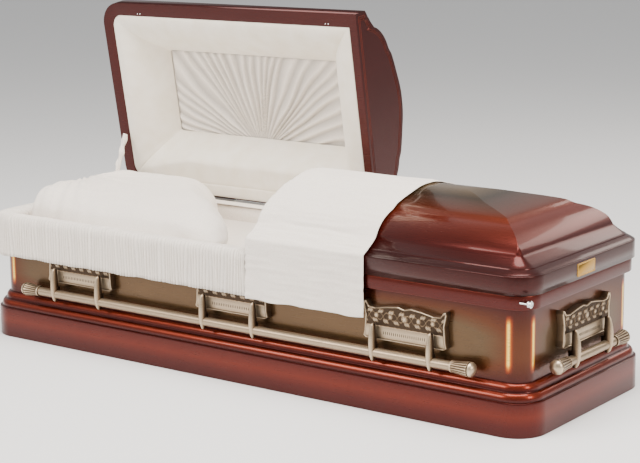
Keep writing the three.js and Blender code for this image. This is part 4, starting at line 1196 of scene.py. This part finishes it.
def tube_cap():
    """The small turned cap of the memorial tube, with a coin-edge grip."""
    low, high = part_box("memory_tube_cap")
    y, z = (low.y + high.y) / 2, (low.z + high.z) / 2
    end, r, stem, teeth, sides = high.x, (high.z - low.z) / 2 / MM, 3.2, 24, 72
    # Distance back from the cap's face, radius, and whether the grip's teeth are cut there
    steps = [(9, stem, 0), (9, 9.5, 0), (8.4, r, 0), (7.5, r, 1), (2, r, 1), (1.2, r, 0)]
    steps += [(0, 9, 0), (0, 6.5, 0), (0.8, 5.8, 0), (0.8, 0.5, 0)]
    rows = []
    a = around(sides)
    for x, radius, grip in [(low.x, stem, 0)] + [(end - back * MM, *rest) for back, *rest in steps]:
        ring = (radius - 0.5 * grip * (np.cos(teeth * a) > 0)) * MM
        rows.append(np.column_stack([np.full(sides, x), y + ring * np.cos(a), z + ring * np.sin(a)]))
    return Shell().grid(rows, wrap_columns=True, caps=True).object("memory_tube_cap_chrome")


# The studio

make_camera()
reach = 14
floor = Shell().grid([[(x, y, 0) for x in (-reach, reach)] for y in (-reach, reach)]).object("floor")
floor_finish = shader("studio_paper", Roughness=0.9, Base_Color=linear("#f2f2f2"))[0]
floor.data.materials.append(floor_finish)
world = bpy.data.worlds.new("studio")
world.use_nodes = True
sky = world.node_tree
feed(sky, sky.nodes["Background"], {"Color": linear("#ffffff"), "Strength": 0.55})
bpy.context.scene.world = world
area_light("overhead", (1.1, -0.8, 4.8), (0.3, 0, 0.3), (4.4, 3.0), 500, "#fffaf4")
area_light("key", (-3.0, -5.2, 3.6), (-0.4, 0, 0.4), (3.0, 2.4), 280, "#fff8f0")
area_light("side", (5.2, -0.6, 2.4), (0.9, 0, 0.4), (1.2, 2.0), 110, "#fff4e8")
area_light("back", (1.9, 4.8, 2.9), (0.8, 0, 0.5), (2.8, 1.0), 50, "#fff4e8")

# The finishes

cherry = enamel("cherry_enamel_on_brushed_steel", CHERRY, 0.3)
bronze = enamel("bronze_enamel_on_brushed_steel", BRONZE, 0.25)
cast = antique_bronze()
brass = bare_metal("polished_brass", "#b58c42", 0.25, 1.5, 0.02)
chrome = bare_metal("bright_chrome", "#dcdcdc", 0.1, 3.0, 0.005)
zinc = bare_metal("zinc_coated_steel", "#8d9092", 0.45, 14.0, 0.02)
crepe_cloth = crepe()
velvet_cloth = velvet()

# The case and the lids

fit(base_moulding(), "casket", "cherry_enamel", cherry, "base_moulding")
fit(wall(), "casket", "bronze_enamel", bronze, "body_shell")
fit(top_moulding(), "casket", "cherry_enamel", cherry, "top_moulding")
fit(turn_open(lid("head_lid_panel_steel", HEAD_CUT, -1)), "head_lid", "cherry_enamel", cherry, "head_lid")
fit(lid("foot_lid_panel_steel", FOOT_CUT, 1), "foot_lid", "cherry_enamel", cherry, "foot_lid")
for half, cut, side in (("head", HEAD_CUT, -1), ("foot", FOOT_CUT, 1)):
    span = lining_span(cut, side)
    rolls = lining_rolls(half + "_lining_rolls", span, -side)
    panel = lining_panel(half + "_lining_fan", span)
    if half == "head":
        far, near = -HALF_X + 1.4 * CORNER_RADIUS, span[1] + 10 * MM
        over = apron("over_flange", far, near, RIM_INSET, LID_Z - 0.6 * MM, -1)
        rolls = joined("head_lining_rolls", [rolls, over])
        turn_open(rolls)
        turn_open(panel)
    fit(rolls, half + "_lid", "velvet", velvet_cloth, half + "_lid_rolls")
    fit(panel, half + "_lid", "velvet", crepe_cloth, half + "_lid_panel")

# The bed and the cloths

bed = fit(mattress(), "casket", "crepe", crepe_cloth, "mattress")
sides = fit(side_lining(), "casket", "crepe", crepe_cloth, "side_lining")
head_pillow = fit(pillow(), "casket", "crepe", crepe_cloth, "pillow")
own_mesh(head_pillow)
ruffle = fit(overlay(), "casket", "crepe", crepe_cloth, "overlay")
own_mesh(ruffle)
throw = fit(throw_cloth(), "foot_lid", "crepe", crepe_cloth, "throw")
stay = fit(lid_stay(), None, "crepe", crepe_cloth, "lid_stay")
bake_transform(stay)

# The handles: where the plates of each side stand, and how long its bar is

SETS = {
    "front": ((-PLATE_PITCH, 0, PLATE_PITCH), SIDE_BAR),
    "back": ((-PLATE_PITCH, 0, PLATE_PITCH), SIDE_BAR),
    "foot_end": ((0,), END_BAR),
    "head_end": ((0,), END_BAR),
}
rods_at = []
for where, (centres, length) in SETS.items():
    stem = where + "_handle_"
    for i, u in enumerate(centres):
        node = stem + "plate" + (f"_{i + 1}" if len(centres) > 1 else "")
        fit(plate(node + "_cast", where, u), "casket", "antique_bronze", cast, node)
        for j, way in enumerate((-1, 1)):
            node = stem + f"arm_{2 * i + j + 1}"
            at = u + way * ARM_PITCH / 2
            fit(arm(node + "_cast", where, at), where + "_handle", "antique_bronze", cast, node)
        rods_at += on_wall(where, [(u + k * ROD_PITCH, ROD_OUT, ROD_Z) for k in range(-10, 11)]).tolist()
    fit(bar(stem + "bar_tube", where, length), where + "_handle", "antique_bronze", cast, stem + "bar")
    for i, way in enumerate((-1, 1)):
        node = stem + f"tip_{i + 1}"
        fit(tip(node + "_fluted", where, length, way), where + "_handle", "antique_bronze", cast, node)

# Two pairs of bright studs on the head panel's flange, and the rods of the plates' lower bands

stud_tree = stud_nodes()
STUD_XS = (-874, -862, -58, -46)
STUD_Y = -308 * MM
STUD_SIZE = 5 * MM
ROD_WIDTH = 2.4 * MM
ROD_HEIGHT = 11 * MM
studs_at = swung([(x * MM, STUD_Y, LID_Z - 0.4 * MM) for x in STUD_XS])
flange_studs = studs("head_lid_flange_rivets", studs_at, STUD_SIZE, STUD_SIZE, chrome, stud_tree)
fit(flange_studs, "head_lid", "chromed_brass", chrome)
rods = studs("handle_plate_beads", rods_at, ROD_WIDTH, ROD_HEIGHT, cast, stud_tree)
fit(rods, "casket", "antique_bronze", cast)

# The small fittings, and the frame's own pieces that keep their shape

fit(plaque(), "foot_lid", "gilt_brass", brass, "plaque")
fit(tube_cap(), "casket", "chromed_brass", chrome, "memory_tube_cap")
for kept_node in ("bottom_panel", "bed_frame", "head_hinge_case_leaf", "foot_hinge_case_leaf",
                  "head_hinge_lid_leaf", "foot_hinge_lid_leaf"):
    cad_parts[kept_node].data.materials.clear()
    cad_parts[kept_node].data.materials.append(zinc)
